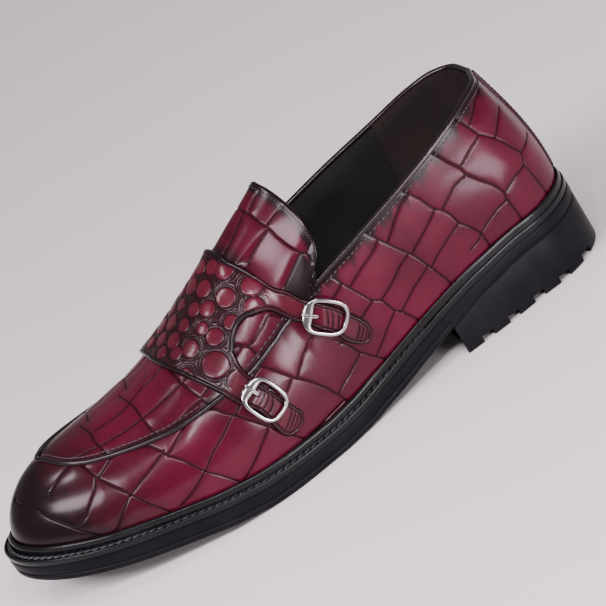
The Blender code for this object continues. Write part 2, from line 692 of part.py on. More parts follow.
def make_buckles():
    around = np.linspace(0, 2 * math.pi, RING_STEPS, endpoint=False)[:, None]
    bar = np.linspace(0, 2 * math.pi, BAR_STEPS, endpoint=False)[None]
    for name, middle, toward in BUCKLES:
        lifted = buckle_bed(middle, toward)
        x = RING_HALF[0] * power(np.cos(around), 2 / RING_SQUARE)
        y = RING_HALF[1] * power(np.sin(around), 2 / RING_SQUARE)
        wide = RING_BAR + (RING_WIDE - RING_BAR) * np.clip(-np.cos(around) * 1.6 - 0.6, 0, 1)
        inner = 1 - (wide - RING_BAR) / RING_HALF[0]
        out_x, out_y = np.cos(around) * RING_HALF[1], np.sin(around) * RING_HALF[0]
        size = np.hypot(out_x, out_y)
        ring = lifted(x * inner + out_x / size * wide * np.cos(bar),
                      y + out_y / size * RING_BAR * np.cos(bar),
                      RING_LIFT + RING_BAR * np.sin(bar))
        frame = make_node("buckle_" + name, ring,
                          grid_faces(RING_STEPS, BAR_STEPS, wrap_u=True, wrap_v=True), "nickel")
        pin_y = np.array([-1, -0.96, -0.9, 0.9, 0.96, 1])[:, None] * RING_HALF[1]
        pin_z = np.array([RING_LIFT, RING_LIFT - 0.6, PIN_LIFT, PIN_LIFT, RING_LIFT - 0.6,
                          RING_LIFT])[:, None]
        pin = lifted(PIN_RADIUS * np.cos(bar) + 0 * pin_y, pin_y + 0 * bar,
                     pin_z + PIN_RADIUS * np.sin(bar))
        faces = grid_faces(6, BAR_STEPS, wrap_v=True)
        faces += [tuple(range(BAR_STEPS))[::-1], tuple(range(5 * BAR_STEPS, 6 * BAR_STEPS))]
        pin_node = make_node("pin_" + name, pin, faces, "nickel")
        pin_node.hide_render = True
        pin_node.display_type = "WIRE"
        pin_node.hide_set(True)
        join = frame.modifiers.new("pin", "BOOLEAN")
        join.operation = "UNION"
        join.solver = "EXACT"
        join.object = pin_node
        x, half, under, high = np.array(PRONG_ROWS).T[..., None]
        prong = lifted(x + np.zeros(4), half * np.array([-1, 1, 1, -1]),
                       under + high * np.array([0, 0, 1, 1]))
        faces = grid_faces(len(x), 4, wrap_v=True)
        faces += [(3, 2, 1, 0), tuple(range(4 * len(x) - 4, 4 * len(x)))]
        make_node("prong_" + name, prong, faces, "nickel")


def main():
    for old in list(bpy.data.objects):
        bpy.data.objects.remove(old, do_unlink=True)
    make_materials()
    make_outsole()
    make_welt()
    make_upper()
    make_insole()
    make_tongue()
    make_strap()
    make_back_strip()
    make_buckles()


main()
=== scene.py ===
import math

import bmesh
import bpy
import numpy as np
from mathutils import Matrix, Vector


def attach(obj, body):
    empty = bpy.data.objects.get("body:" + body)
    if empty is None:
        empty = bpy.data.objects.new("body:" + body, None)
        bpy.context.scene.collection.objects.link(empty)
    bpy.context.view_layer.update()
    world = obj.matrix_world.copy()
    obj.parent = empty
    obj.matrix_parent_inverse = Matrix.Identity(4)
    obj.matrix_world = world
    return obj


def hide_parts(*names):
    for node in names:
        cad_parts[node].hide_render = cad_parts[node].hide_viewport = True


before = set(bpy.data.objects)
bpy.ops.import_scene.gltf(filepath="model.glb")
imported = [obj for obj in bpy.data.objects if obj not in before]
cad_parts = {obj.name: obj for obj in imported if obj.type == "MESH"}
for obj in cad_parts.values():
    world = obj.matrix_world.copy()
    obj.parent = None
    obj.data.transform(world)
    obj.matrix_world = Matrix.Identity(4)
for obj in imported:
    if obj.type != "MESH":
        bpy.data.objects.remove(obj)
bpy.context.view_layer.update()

# Buckle loafer, left shoe. Shoe coordinates are millimetres: s runs from the back of the heel
# to the toe, w from the centre line to the outer side, z up from the floor. The toe points to
# -Y and the outer side to +X.

# ---- camera --------------------------------------------------------------------------------------
# A long lens looks a little down on the outer side, level with the instep. It is rolled, so
# that the shoe, which stands flat, runs across the view from high heel to low toe.
CAMERA_ACROSS = math.radians(5.5)       # how far the lens stands towards the heel's side
CAMERA_ABOVE = math.radians(23.5)
CAMERA_ROLL = math.radians(32.1)
CAMERA_AWAY = 2.3                       # metres from what it looks at
VIEW_SIDE = 606                         # the square image, and how much of it is a millimetre
VIEW_PER_MM = 2.22
SENSOR = 36.0
AIM_AT = (-0.0024, 0.0025, 0.045)       # metres, near the middle of the shoe
AIM_LEVEL = 0.0188                      # and how far the lens is slid level and upwards
AIM_UPRIGHT = 0.0057

toward = np.array([math.cos(CAMERA_ACROSS) * math.cos(CAMERA_ABOVE),
                   -math.sin(CAMERA_ACROSS) * math.cos(CAMERA_ABOVE), math.sin(CAMERA_ABOVE)])
level = np.array([math.sin(CAMERA_ACROSS), math.cos(CAMERA_ACROSS), 0.0])
upright = np.cross(toward, level)
across = level * math.cos(CAMERA_ROLL) - upright * math.sin(CAMERA_ROLL)
up = level * math.sin(CAMERA_ROLL) + upright * math.cos(CAMERA_ROLL)
aim = np.array(AIM_AT) + level * AIM_LEVEL + upright * AIM_UPRIGHT

lens = bpy.data.cameras.new("camera")
lens.sensor_width = SENSOR
lens.lens = VIEW_PER_MM * CAMERA_AWAY * 1000 * SENSOR / VIEW_SIDE
lens.clip_end = 20
camera = bpy.data.objects.new("camera", lens)
frame_axes = np.column_stack([across, up, toward, aim + toward * CAMERA_AWAY])
camera.matrix_world = Matrix(np.vstack([frame_axes, [0, 0, 0, 1]]).tolist())
bpy.context.scene.collection.objects.link(camera)
bpy.context.scene.camera = camera

# ---- floor and light -----------------------------------------------------------------------------
# A plain pale floor, soft boxes over the outer side, the instep and the toe and behind the heel,
# a low card on the floor, outside the view, that fills the quarter, and a pale even sky.
FLOOR_COLOUR = (0.90, 0.86, 0.865)
FLOOR_HALF = 6.0
SKY_COLOUR = (0.93, 0.88, 0.88)
SKY_STRENGTH = 0.38
# Each light: where it is, what it faces, its two sides in metres, watts, colour
SOFT_BOXES = (
    ("key", (1.15, 0.16, 1.09), (0, 0.04, 0.05), (0.50, 0.19), 14, (1.0, 0.90, 0.96)),
    ("streak", (1.12, -0.27, 1.12), (0.03, -0.06, 0.05), (0.17, 0.10), 4.6, (1.0, 0.90, 0.96)),
    ("instep", (0.75, -1.03, 1.11), (0, 0.03, 0.08), (0.95, 0.42), 32, (1.0, 0.87, 0.97)),
    ("toe", (-0.01, -0.285, 0.53), (0, -0.12, 0.05), (0.07, 0.07), 0.55, (1.0, 0.92, 0.97)),
    ("heel", (1.05, 0.52, 0.17), (0, 0.08, 0.07), (0.45, 0.27), 11, (1.0, 0.93, 0.98)),
    ("card", (0.18, 0.23, 0.004), (0.10, 0.23, 0.50), (0.10, 0.20), 0.95, (1.0, 0.88, 1.0)),
)


def new_material(name):
    """A new material, its node tree and its Principled shader."""
    material = bpy.data.materials.new(name)
    material.use_nodes = True
    return material, material.node_tree, material.node_tree.nodes["Principled BSDF"]


floor_mesh = bpy.data.meshes.new("floor")
corners = [(x * FLOOR_HALF, y * FLOOR_HALF, 0) for x, y in ((-1, -1), (1, -1), (1, 1), (-1, 1))]
floor_mesh.from_pydata(corners, [], [(0, 1, 2, 3)])
pale_floor, _, floor_shader = new_material("pale_floor")
floor_shader.inputs["Base Color"].default_value = (*FLOOR_COLOUR, 1)
floor_shader.inputs["Roughness"].default_value = 0.6
floor_mesh.materials.append(pale_floor)
floor = bpy.data.objects.new("floor", floor_mesh)
bpy.context.scene.collection.objects.link(floor)

for name, place_at, facing, sides, watts, colour in SOFT_BOXES:
    lamp = bpy.data.lights.new(name, "AREA")
    lamp.shape = "RECTANGLE"
    lamp.size, lamp.size_y = sides
    lamp.energy = watts
    lamp.color = colour
    box = bpy.data.objects.new(name, lamp)
    box.location = place_at
    box.rotation_euler = (Vector(place_at) - Vector(facing)).to_track_quat("Z", "Y").to_euler()
    bpy.context.scene.collection.objects.link(box)

sky = bpy.data.worlds.new("sky")
sky.use_nodes = True
sky.node_tree.nodes["Background"].inputs["Color"].default_value = (*SKY_COLOUR, 1)
sky.node_tree.nodes["Background"].inputs["Strength"].default_value = SKY_STRENGTH
bpy.context.scene.world = sky

# ---- outsole -------------------------------------------------------------------------------------
# One moulding of satin black rubber: a thick forefoot, a narrow arch and a stacked heel with
# six lugs under it. A ridge runs round its side, and its top edge is stepped in to the welt.
LENGTH = 305.0
HEEL_ROUND = 34.0
TOE_ROUND = 45.0
HEEL_LENGTH = 83.0
WELT_THICK = 2.6
GAP = 0.3
# s, half width on the outer side, on the inner side, height of the welt's lip, and height of
# the sole's lower line
SOLE_NAMES = ("s", "outer", "inner", "lip", "line")
SOLE_ROWS = (
    (0, 30.0, 30.0, 33.0, 24.0),
    (35, 31.5, 32.5, 32.4, 23.4),
    (60, 35.5, 33.5, 30.5, 20.6),
    (83, 37.6, 31.0, 26.0, 14.6),
    (100, 38.8, 29.0, 21.6, 9.8),
    (122, 41.0, 28.6, 15.8, 3.6),
    (140, 45.2, 30.8, 12.7, 0.6),
    (155, 49.4, 34.6, 12.0, 0.0),
    (188, 54.6, 45.6, 12.6, 0.0),
    (210, 55.0, 50.0, 15.2, 2.4),
    (230, 52.2, 50.2, 18.4, 5.8),
    (250, 47.8, 47.0, 21.6, 9.0),
    (270, 42.4, 42.0, 25.0, 12.6),
    (290, 38.4, 37.4, 28.4, 16.4),
    (305, 36.5, 35.0, 31.0, 19.6),
)
# The side from the tread up: how far it stands in, the level it is measured from, height over it
SIDE_PROFILE = (
    (1.8, "tread", 0.0), (0.9, "tread", 0.25), (0.4, "tread", 0.8), (0.3, "tread", 1.3),
    (0.15, "ridge", -1.0), (0.35, "ridge", -0.45), (0.75, "ridge", -0.1), (0.75, "ridge", 0.3),
    (0.3, "ridge", 0.8), (0.0, "ridge", 1.3), (0.0, "ridge", 2.2),
    (0.0, "lip", -4.2), (0.1, "lip", -3.7), (0.6, "lip", -3.35), (0.7, "lip", -3.0),
    (3.0, "lip", -2.9),
)
RIDGE_OVER_TREAD = 3.4
LUG_COUNT = 6
LUG_NOTCH = 6.0
LUG_DEPTH = 3.4
LUG_WEB = 16.0
BREAST_BOW = 5.0        # how far the heel's front edge bows back at the middle
RIB_FROM, RIB_TO = 165.0, 290.0
RIB_PITCH = 11.0
RIB_HALF = 1.4
RIB_DEPTH = 1.1


def columns(names, rows):
    """A table of rows as a dictionary of named columns."""
    return {name: np.array(column, float) for name, column in zip(names, zip(*rows))}


def smooth(xs, ys, x):
    """A cubic through the points (xs, ys), read at x. Its slope at a point is a weighted
    harmonic mean of the slopes beside it, or 0 at a turn, so it never overshoots."""
    xs, ys, x = (np.asarray(v, float) for v in (xs, ys, x))
    step = np.diff(xs)
    rise = np.diff(ys) / step
    slope = np.zeros_like(ys)
    same = rise[1:] * rise[:-1] > 0
    near = (2 * step[1:] + step[:-1])[same]
    far = (step[1:] + 2 * step[:-1])[same]
    slope[1:-1][same] = (near + far) / (near / rise[:-1][same] + far / rise[1:][same])
    slope[0], slope[-1] = rise[0], rise[-1]
    k = np.clip(np.searchsorted(xs, x) - 1, 0, len(step) - 1)
    h = step[k]
    t = (x - xs[k]) / h
    value = ys[k] * (1 + 2 * t) * (1 - t) ** 2 + ys[k + 1] * t * t * (3 - 2 * t)
    return value + slope[k] * h * t * (1 - t) ** 2 + slope[k + 1] * h * t * t * (t - 1)


SOLE = columns(SOLE_NAMES, SOLE_ROWS)


def along(turn):
    """The s of a place on the outline: half the length times 1 minus the cosine of turn, which
    is 0 at the heel, 1 at the toe and 2 at the heel again, along the inner side."""
    return LENGTH / 2 * (1 - np.cos(np.pi * np.asarray(turn, float)))


def turn_at(s):
    """The turn of a place s on the outer side. On the inner side it is 2 minus this."""
    return np.arccos(1 - 2 * np.asarray(s, float) / LENGTH) / np.pi


def end_round(share):
    """A quarter ellipse: 0 at a round end, 1 where the end is over."""
    return np.sqrt(np.clip(1 - (1 - np.clip(share, 0, 1)) ** 2, 0, 1))


def is_outer(turn):
    """Whether a place lies on the outer side: its turn, less whole rounds, is up to 1."""
    return np.mod(turn, 2) <= 1


def edge(turn):
    """The sole's outline as (s, w): half widths from the table, times a quarter ellipse at
    the heel and at the toe."""
    s = along(turn)
    half = np.where(is_outer(turn), smooth(SOLE["s"], SOLE["outer"], s),
                    smooth(SOLE["s"], SOLE["inner"], s))
    half = half * end_round(s / HEEL_ROUND) * end_round((LENGTH - s) / TOE_ROUND)
    return np.stack([s, np.where(is_outer(turn), half, -half)], -1)


def outward(turn):
    """Unit normal of the outline as (s, w), away from the shoe: its direction, turned."""
    small = 0.004
    d = edge(turn + small) - edge(turn - small)
    n = np.stack([-d[..., 1], d[..., 0]], -1)
    return n / np.linalg.norm(n, axis=-1, keepdims=True)


def sole_height(name, turn):
    """A height of the sole's table, read at the place's s."""
    return smooth(SOLE["s"], SOLE[name], along(turn))


SIDE_TURNS = turn_at(np.linspace(0, LENGTH, 400))
MID_S = LENGTH / 2
MID_W = (edge(SIDE_TURNS)[:, 1].max() + edge(2 - SIDE_TURNS)[:, 1].min()) / 2


def place(points):
    """Shoe millimetres (s, w, z) as the frame's metres."""
    points = np.asarray(points, float)
    return np.stack([points[..., 1] - MID_W, MID_S - points[..., 0], points[..., 2]], -1) / 1000


def even_turns(first, last, step):
    """Turns from first to last whose places on the outline are step millimetres apart: the
    outline's length is added up along fine steps and read back at even lengths."""
    fine = np.linspace(first, last, 6000)
    run = np.append(0, np.cumsum(np.linalg.norm(np.diff(edge(fine), axis=0), axis=1)))
    return np.interp(np.linspace(0, run[-1], round(run[-1] / step) + 1), run, fine)


def sheet(points, wrap_u=False, wrap_v=False, flip=False, **masks):
    """A grid of points for make_piece, with the masks that its material reads."""
    points = np.asarray(points, float)
    masks = {name: np.broadcast_to(mask, points.shape[:2]) for name, mask in masks.items()}
    return {"points": points, "wrap_u": wrap_u, "wrap_v": wrap_v, "flip": flip, "masks": masks}


def quads(nu, nv, wrap_u, wrap_v):
    """The grid's quads: each point with its neighbours along u, along both and along v."""
    i, j = np.meshgrid(np.arange(nu if wrap_u else nu - 1), np.arange(nv if wrap_v else nv - 1),
                       indexing="ij")
    a, b = (i + 1) % nu, (j + 1) % nv
    return np.stack([i * nv + j, a * nv + j, a * nv + b, i * nv + b], -1).reshape(-1, 4)


def make_piece(name, sheets, material, stands_for=(), crease=60):
    """A piece from sheets: their quads in one mesh, doubles merged, shaded smooth but for
    creases sharper than the angle. It rides with the shoe and stands for CAD nodes."""
    points, faces, used = [], [], 0
    for part in sheets:
        nu, nv = part["points"].shape[:2]
        cells = quads(nu, nv, part["wrap_u"], part["wrap_v"])
        faces.append((cells[:, ::-1] if part["flip"] else cells) + used)
        points.append(part["points"].reshape(-1, 3))
        used += nu * nv
    mesh = bpy.data.meshes.new(name)
    mesh.from_pydata(place(np.concatenate(points)).tolist(), [], np.concatenate(faces).tolist())
    for mask in sheets[0]["masks"]:
        values = np.concatenate([part["masks"][mask].ravel() for part in sheets])
        mesh.attributes.new(mask, "FLOAT", "POINT").data.foreach_set("value", values)
    merged = bmesh.new()
    merged.from_mesh(mesh)
    bmesh.ops.remove_doubles(merged, verts=merged.verts, dist=0.000004)
    merged.to_mesh(mesh)
    merged.free()
    mesh.shade_smooth()
    mesh.set_sharp_from_angle(angle=math.radians(crease))
    mesh.materials.append(material)
    piece = bpy.data.objects.new(name, mesh)
    bpy.context.scene.collection.objects.link(piece)
    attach(piece, "root")
    if stands_for:
        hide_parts(*stands_for)
    return piece


def node_group(name, inputs, outputs):
    """An empty shader node group. Inputs and outputs are (name, default) pairs: a default of
    one number is a value, of four a colour, and of None a vector. Returns the group, its
    input node's sockets and its output node's."""
    group = bpy.data.node_groups.new(name, "ShaderNodeTree")
    for pairs, way in ((inputs, "INPUT"), (outputs, "OUTPUT")):
        for label, default in pairs:
            kind = "Vector" if default is None else "Color" if np.ndim(default) else "Float"
            socket = group.interface.new_socket(label, in_out=way,
                                                socket_type="NodeSocket" + kind)
            if default is not None and way == "INPUT":
                socket.default_value = default
    return (group, group.nodes.new("NodeGroupInput").outputs,
            group.nodes.new("NodeGroupOutput").inputs)


def wire(tree, kind, *inputs, **settings):
    """A new node in a tree. Each input is a socket to link, a plain value, or None to leave
    as it is, in the order of the node's sockets; settings are its properties."""
    node = tree.nodes.new("ShaderNode" + kind)
    for key, value in settings.items():
        setattr(node, key, value)
    for socket, given in zip(node.inputs, inputs):
        if isinstance(given, bpy.types.NodeSocket):
            tree.links.new(given, socket)
        elif given is not None:
            socket.default_value = given
    return node


def math_node(tree, operation, *inputs):
    """The output of a Math node."""
    return wire(tree, "Math", *inputs, operation=operation).outputs[0]


def ramp(tree, value, stops):
    """A Color Ramp over a value: stops are (place, grey or colour). Returns its colour."""
    node = wire(tree, "ValToRGB", value)
    while len(node.color_ramp.elements) < len(stops):
        node.color_ramp.elements.new(1.0)
    for element, (at, shade) in zip(node.color_ramp.elements, stops):
        element.position = at
        element.color = (*shade, 1) if np.ndim(shade) else (shade, shade, shade, 1)
    return node.outputs[0]


def mix_colour(tree, share, first, second):
    """The colour of a Mix node."""
    node = tree.nodes.new("ShaderNodeMix")
    node.data_type = "RGBA"
    for number, given in ((0, share), (6, first), (7, second)):
        if isinstance(given, bpy.types.NodeSocket):
            tree.links.new(given, node.inputs[number])
        else:
            node.inputs[number].default_value = given
    return node.outputs[2]


def use_group(tree, group, **inputs):
    """A group placed in a material, each named input linked or set."""
    node = tree.nodes.new("ShaderNodeGroup")
    node.node_tree = group
    for label, given in inputs.items():
        if isinstance(given, bpy.types.NodeSocket):
            tree.links.new(given, node.inputs[label])
        else:
            node.inputs[label].default_value = given
    return node.outputs


def placed_pattern(tree):
    """The place on the piece in metres, from its Object coordinates."""
    return wire(tree, "TexCoord").outputs["Object"]


NO_COLOUR = (0, 0, 0, 1)
SURFACE = (("Colour", NO_COLOUR), ("Roughness", 0), ("Height", 0))     # what a group gives


def finish(tree, shader, surface, bump, deep=0.0003):
    """Links a surface's colour and roughness to the shader, and its height through a bump."""
    tree.links.new(surface["Colour"], shader.inputs["Base Color"])
    tree.links.new(surface["Roughness"], shader.inputs["Roughness"])
    bumped = wire(tree, "Bump", bump, deep)
    tree.links.new(surface["Height"], bumped.inputs["Height"])
    tree.links.new(bumped.outputs[0], shader.inputs["Normal"])


def make_rubber_grain():
    """Node group: fine stipple and broad scuffs of moulded rubber, from noise at two sizes.
    Gives a colour between two, a roughness and a height."""
    group, given, out = node_group("rubber_grain", (
        ("Place", None), ("Dark", NO_COLOUR), ("Worn", NO_COLOUR), ("Roughness", 0.4)), SURFACE)
    broad = wire(group, "TexNoise", given["Place"], None, 38.0, 4.0, 0.6).outputs[0]
    fine = wire(group, "TexNoise", given["Place"], None, 1400.0, 2.0, 0.6).outputs[0]
    scuff = ramp(group, broad, ((0.38, 0.0), (0.72, 1.0)))
    group.links.new(mix_colour(group, scuff, given["Dark"], given["Worn"]), out["Colour"])
    smoothest = math_node(group, "SUBTRACT", given["Roughness"], 0.11)
    rougher = math_node(group, "MULTIPLY", broad, 0.22)
    group.links.new(math_node(group, "ADD", smoothest, rougher), out["Roughness"])
    group.links.new(fine, out["Height"])
    return group


RUBBER_GRAIN = make_rubber_grain()


def rubber_material(name, dark, worn, roughness, bump, shine):
    """Black rubber from the rubber_grain group, with a faint bump."""
    material, tree, shader = new_material(name)
    shader.inputs["Specular IOR Level"].default_value = shine
    grain = use_group(tree, RUBBER_GRAIN, Place=placed_pattern(tree), Dark=(*dark, 1),
                      Worn=(*worn, 1), Roughness=roughness)
    finish(tree, shader, grain, bump)
    return material


def side_turns(step, extra=()):
    """Turns right round the sole. At each extra s on both sides stand two columns, a tenth of
    a millimetre apart, for a step in the mesh."""
    side = even_turns(0, 1, step)
    for s in extra:
        pair = turn_at(np.array([s - 0.05, s + 0.05]))
        side = np.append(side[np.abs(along(side) - s) > 0.35], pair)
    side = np.sort(side)
    return np.concatenate([side, 2 - side[-2:0:-1]])


def notch_edges():
    """The s of both edges of each notch between two lugs, evenly spaced along the heel."""
    pitch = (HEEL_LENGTH + LUG_NOTCH) / LUG_COUNT
    rear = pitch * np.arange(1, LUG_COUNT) - LUG_NOTCH
    return np.sort(np.concatenate([rear, rear + LUG_NOTCH]))


def in_notch(s):
    """Whether a place lies between the two edges of a notch."""
    return np.searchsorted(notch_edges(), s) % 2 == 1


def outsole_sheets():
    """The side, swept round the outline, and the tread, a height over each place between the
    two edges: flat on the heel, at the sole's lower line in front of it, raised in the notches
    and in the ribs of the forefoot."""
    turns = side_turns(1.3, (*notch_edges(), HEEL_LENGTH))
    s = along(turns)
    on_heel = s < HEEL_LENGTH
    line = sole_height("line", turns)
    levels = {"lip": sole_height("lip", turns), "tread": np.where(on_heel, 0, line),
              "ridge": np.where(on_heel, line, line + RIDGE_OVER_TREAD)}
    rows = [np.column_stack([edge(turns) - outward(turns) * inset, levels[level] + over])
            for inset, level, over in SIDE_PROFILE]
    side = np.array(rows)
    notched = in_notch(s) & (np.abs(side[..., 1]) > LUG_WEB)
    side[..., 2] = np.where(notched, np.maximum(side[..., 2], LUG_DEPTH), side[..., 2])
    half = len(turns) // 2
    left, right = side[0, :half + 1], np.roll(side[0, ::-1], 1, axis=0)[:half + 1]
    across = np.linspace(0, 1, 15)
    near = np.minimum(LUG_WEB, left[:, 1] * 0.98)
    far = np.maximum(-LUG_WEB, right[:, 1] * 0.98)
    spans = ((left[:, 1], near + 0.05), (near - 0.05, far + 0.05), (far - 0.05, right[:, 1]))
    w = np.concatenate([a[:, None] + (b - a)[:, None] * across for a, b in spans], 1)
    tread = np.empty((*w.shape, 3))
    share = (left[:, 1:2] - w) / np.maximum(left[:, 1:2] - right[:, 1:2], 0.01)
    tread[..., 0] = left[:, :1] - np.where(np.abs(left[:, :1] - HEEL_LENGTH) < 1,
                                           BREAST_BOW * 4 * share * (1 - share), 0)
    tread[..., 1] = w
    s = s[:half + 1, None]
    level = levels["tread"][:half + 1, None] + 0 * w
    rib = (np.abs((s - 160) % RIB_PITCH - RIB_PITCH / 2) < RIB_HALF) & (np.abs(share - 0.5) < 0.42)
    level += RIB_DEPTH * (rib & (s > RIB_FROM) & (s < RIB_TO))
    cut = in_notch(s) & (np.abs(w) > LUG_WEB)
    tread[..., 2] = np.where(cut, LUG_DEPTH, level)
    return [sheet(side, wrap_v=True), sheet(tread)]


BLACK_RUBBER = rubber_material("black_rubber", (0.005, 0.005, 0.006), (0.008, 0.008, 0.010),
                               0.34, 0.25, 0.05)
make_piece("outsole_moulding", outsole_sheets(), BLACK_RUBBER, ("outsole",), crease=35)

# ---- welt ----------------------------------------------------------------------------------------
# A black rubber ring between upper and outsole: a glossy rand bead against the upper, a
# channel with a braided thread from the waist round the toe, and a thin bright lip.
# s, how far the upper stands in from the lip; the column's end on the topline, throat or
# ridge: its s, half widths, heights; flare at the foot and lean at the end in degrees; the
# curve's two handles
LAST_NAMES = ("s", "inset", "end_s", "outer_w", "inner_w", "outer_z", "inner_z",
              "flare", "lean", "rise", "reach")
LAST_ROWS = (
    (0, 3.0, 11.5, 0.0, 0.0, 99.0, 99.0, 9, 16, 0.36, 0.36),
    (8, 3.0, 14.5, 13.5, 13.5, 99.2, 99.6, 9, 15, 0.36, 0.36),
    (22, 3.1, 22.5, 21.5, 21.0, 98.0, 99.6, 9, 14, 0.36, 0.36),
    (40, 3.3, 36.0, 27.5, 26.0, 94.0, 97.5, 9, 12, 0.36, 0.36),
    (60, 3.6, 56.0, 31.5, 29.0, 88.0, 93.0, 9, 10, 0.36, 0.36),
    (90, 4.2, 89.0, 34.0, 30.0, 79.0, 87.0, 8, 10, 0.36, 0.36),
    (115, 4.8, 115.0, 34.5, 29.5, 72.5, 82.0, 6, 20, 0.385, 0.18),
    (132, 5.2, 131.0, 34.0, 28.5, 69.0, 79.0, 5, 20, 0.475, 0.13),
    (142, 5.4, 139.5, 23.8, 20.3, 80.3, 85.3, 5, 56, 0.58, 0.16),
    (152, 5.6, 149.5, 0.0, 0.0, 97.2, 97.2, 6, 90, 0.555, 0.455),
    (164, 5.9, 161.0, 0.0, 0.0, 90.8, 90.8, 6, 90, 0.60, 0.46),
    (175, 6.0, 171.0, 0.0, 0.0, 85.0, 85.0, 7, 90, 0.52, 0.60),
    (190, 6.1, 184.0, 0.0, 0.0, 77.6, 77.6, 8, 90, 0.54, 0.62),
    (205, 6.2, 197.0, 0.0, 0.0, 71.2, 71.2, 8, 90, 0.55, 0.64),
    (220, 6.3, 209.5, 0.0, 0.0, 66.6, 66.6, 9, 90, 0.55, 0.64),
    (240, 6.4, 225.0, 0.0, 0.0, 63.6, 63.6, 9, 90, 0.55, 0.62),
    (260, 6.5, 239.0, 0.0, 0.0, 62.2, 62.2, 9, 90, 0.54, 0.60),
    (280, 6.6, 252.0, 0.0, 0.0, 61.7, 61.7, 8, 90, 0.52, 0.56),
    (305, 6.6, 263.0, 0.0, 0.0, 61.0, 61.0, 6, 90, 0.48, 0.54),
)
BEAD_SHARE = 0.34       # of the welt's width
BEAD_HEIGHT = 4.0
BEAD_ROUND = 1.7
CHANNEL_DEPTH = 1.0
# The lip from the channel out: share of the welt's width, height
LIP_PROFILE = (
    (0.77, -CHANNEL_DEPTH), (0.80, -0.75), (0.815, -0.2), (0.84, 0.08), (0.88, 0.2), (0.92, 0.16),
    (0.97, -0.05), (0.995, -0.4), (1.0, -0.9), (1.0, -2.1), (0.985, -WELT_THICK),
)
BRAID_FROM = 96.0       # s of the braid's two ends at the waist
BRAID_PITCH = 3.9
LAST = columns(LAST_NAMES, LAST_ROWS)


def last(name, turn):
    """A value of the last's table, read at the place's s."""
    return smooth(LAST["s"], LAST[name], along(turn))


def last_side(name, turn):
    """A value of the last that differs between the outer and the inner side."""
    return np.where(is_outer(turn), last("outer_" + name, turn), last("inner_" + name, turn))


def feather(turn):
    """Where the upper meets the sole, as (s, w): the outline, moved in by the inset."""
    return edge(turn) - outward(turn) * last("inset", turn)[..., None]


def skin(turn, t):
    """The upper's outer surface. A column is a cubic Bezier curve from its foot, t 0, to its
    end, t 1: its first handle flares out by rise, its last leans in by reach."""
    turn, t = np.broadcast_arrays(np.asarray(turn, float), np.asarray(t, float))
    out = outward(turn)
    foot = feather(turn)
    foot_z = sole_height("lip", turn) - WELT_THICK
    side = np.where(is_outer(turn), 1.0, -1.0)
    end = np.stack([last("end_s", turn), side * last_side("w", turn)], -1)
    end_z = last_side("z", turn)
    flare = np.radians(last("flare", turn))
    lean = np.radians(last("lean", turn))
    height = end_z - foot_z
    inward = end - foot - 20 * out
    inward = inward / np.linalg.norm(inward, axis=-1, keepdims=True)
    width = np.linalg.norm(end - foot, axis=-1)
    first = last("rise", turn) * height
    second = last("reach", turn) * (width * np.sin(lean) + height * np.cos(lean))
    p0 = np.concatenate([foot, foot_z[..., None]], -1)
    p3 = np.concatenate([end, end_z[..., None]], -1)
    p1 = p0 + np.concatenate([out * (first * np.sin(flare))[..., None],
                              (first * np.cos(flare))[..., None]], -1)
    p2 = p3 - np.concatenate([inward * (second * np.sin(lean))[..., None],
                              (second * np.cos(lean))[..., None]], -1)
    t = t[..., None]
    return p0 * (1 - t) ** 3 + 3 * p1 * t * (1 - t) ** 2 + 3 * p2 * t * t * (1 - t) + p3 * t ** 3


def skin_normal(turn, t):
    """Unit normal of the upper, outwards: the cross product of its two directions."""
    t = np.clip(t, 0.002, 0.992)
    across = skin(turn + 0.003, t) - skin(turn - 0.003, t)
    rising = skin(turn, t + 0.004) - skin(turn, t - 0.004)
    n = np.cross(rising, across)
    return n / np.linalg.norm(n, axis=-1, keepdims=True)


def skin_over(turn, t, lift):
    """A point lifted off the upper along its normal."""
    turn, t, lift = np.broadcast_arrays(turn, t, lift)
    return skin(turn, t) + skin_normal(turn, t) * lift[..., None]


def bead_inside(turns):
    """How far the upper stands out over its foot at the bead's height, plus the gap."""
    t = np.linspace(0, 0.3, 31)
    wall = skin(turns[:, None], t[None])
    reach = ((wall[..., :2] - feather(turns)[:, None]) * outward(turns)[:, None]).sum(-1)
    top = sole_height("lip", turns) + BEAD_HEIGHT
    share = (wall[..., 2] > top[:, None]).argmax(1)
    return reach[np.arange(len(turns)), share] + GAP


def welt_ring(turns):
    """The welt's closed profile, carried round the outline: distances out from the upper's
    foot and heights over the lip. The bead is a half ellipse, the lip is rounded."""
    width = last("inset", turns)
    foot, out, lip = feather(turns), outward(turns), sole_height("lip", turns)
    inner = bead_inside(turns) - 0.25
    bead = BEAD_SHARE * width + 0.3
    profile = [(np.full_like(width, GAP), -WELT_THICK)]
    profile += [(inner + bead * (0.5 + 0.5 * math.cos(a)),
                 BEAD_HEIGHT + BEAD_ROUND * (math.sin(a) - 1)) for a in np.linspace(np.pi, 0, 11)]
    channel = ((1.02, 0.6), (1.05, 0.25 - CHANNEL_DEPTH), (1.15, -CHANNEL_DEPTH))
    profile += [(inner + bead * k, z) for k, z in channel]
    profile += [(width * k, z) for k, z in LIP_PROFILE]
    return np.array([np.column_stack([foot + out * reach[:, None], lip + over])
                     for reach, over in profile])


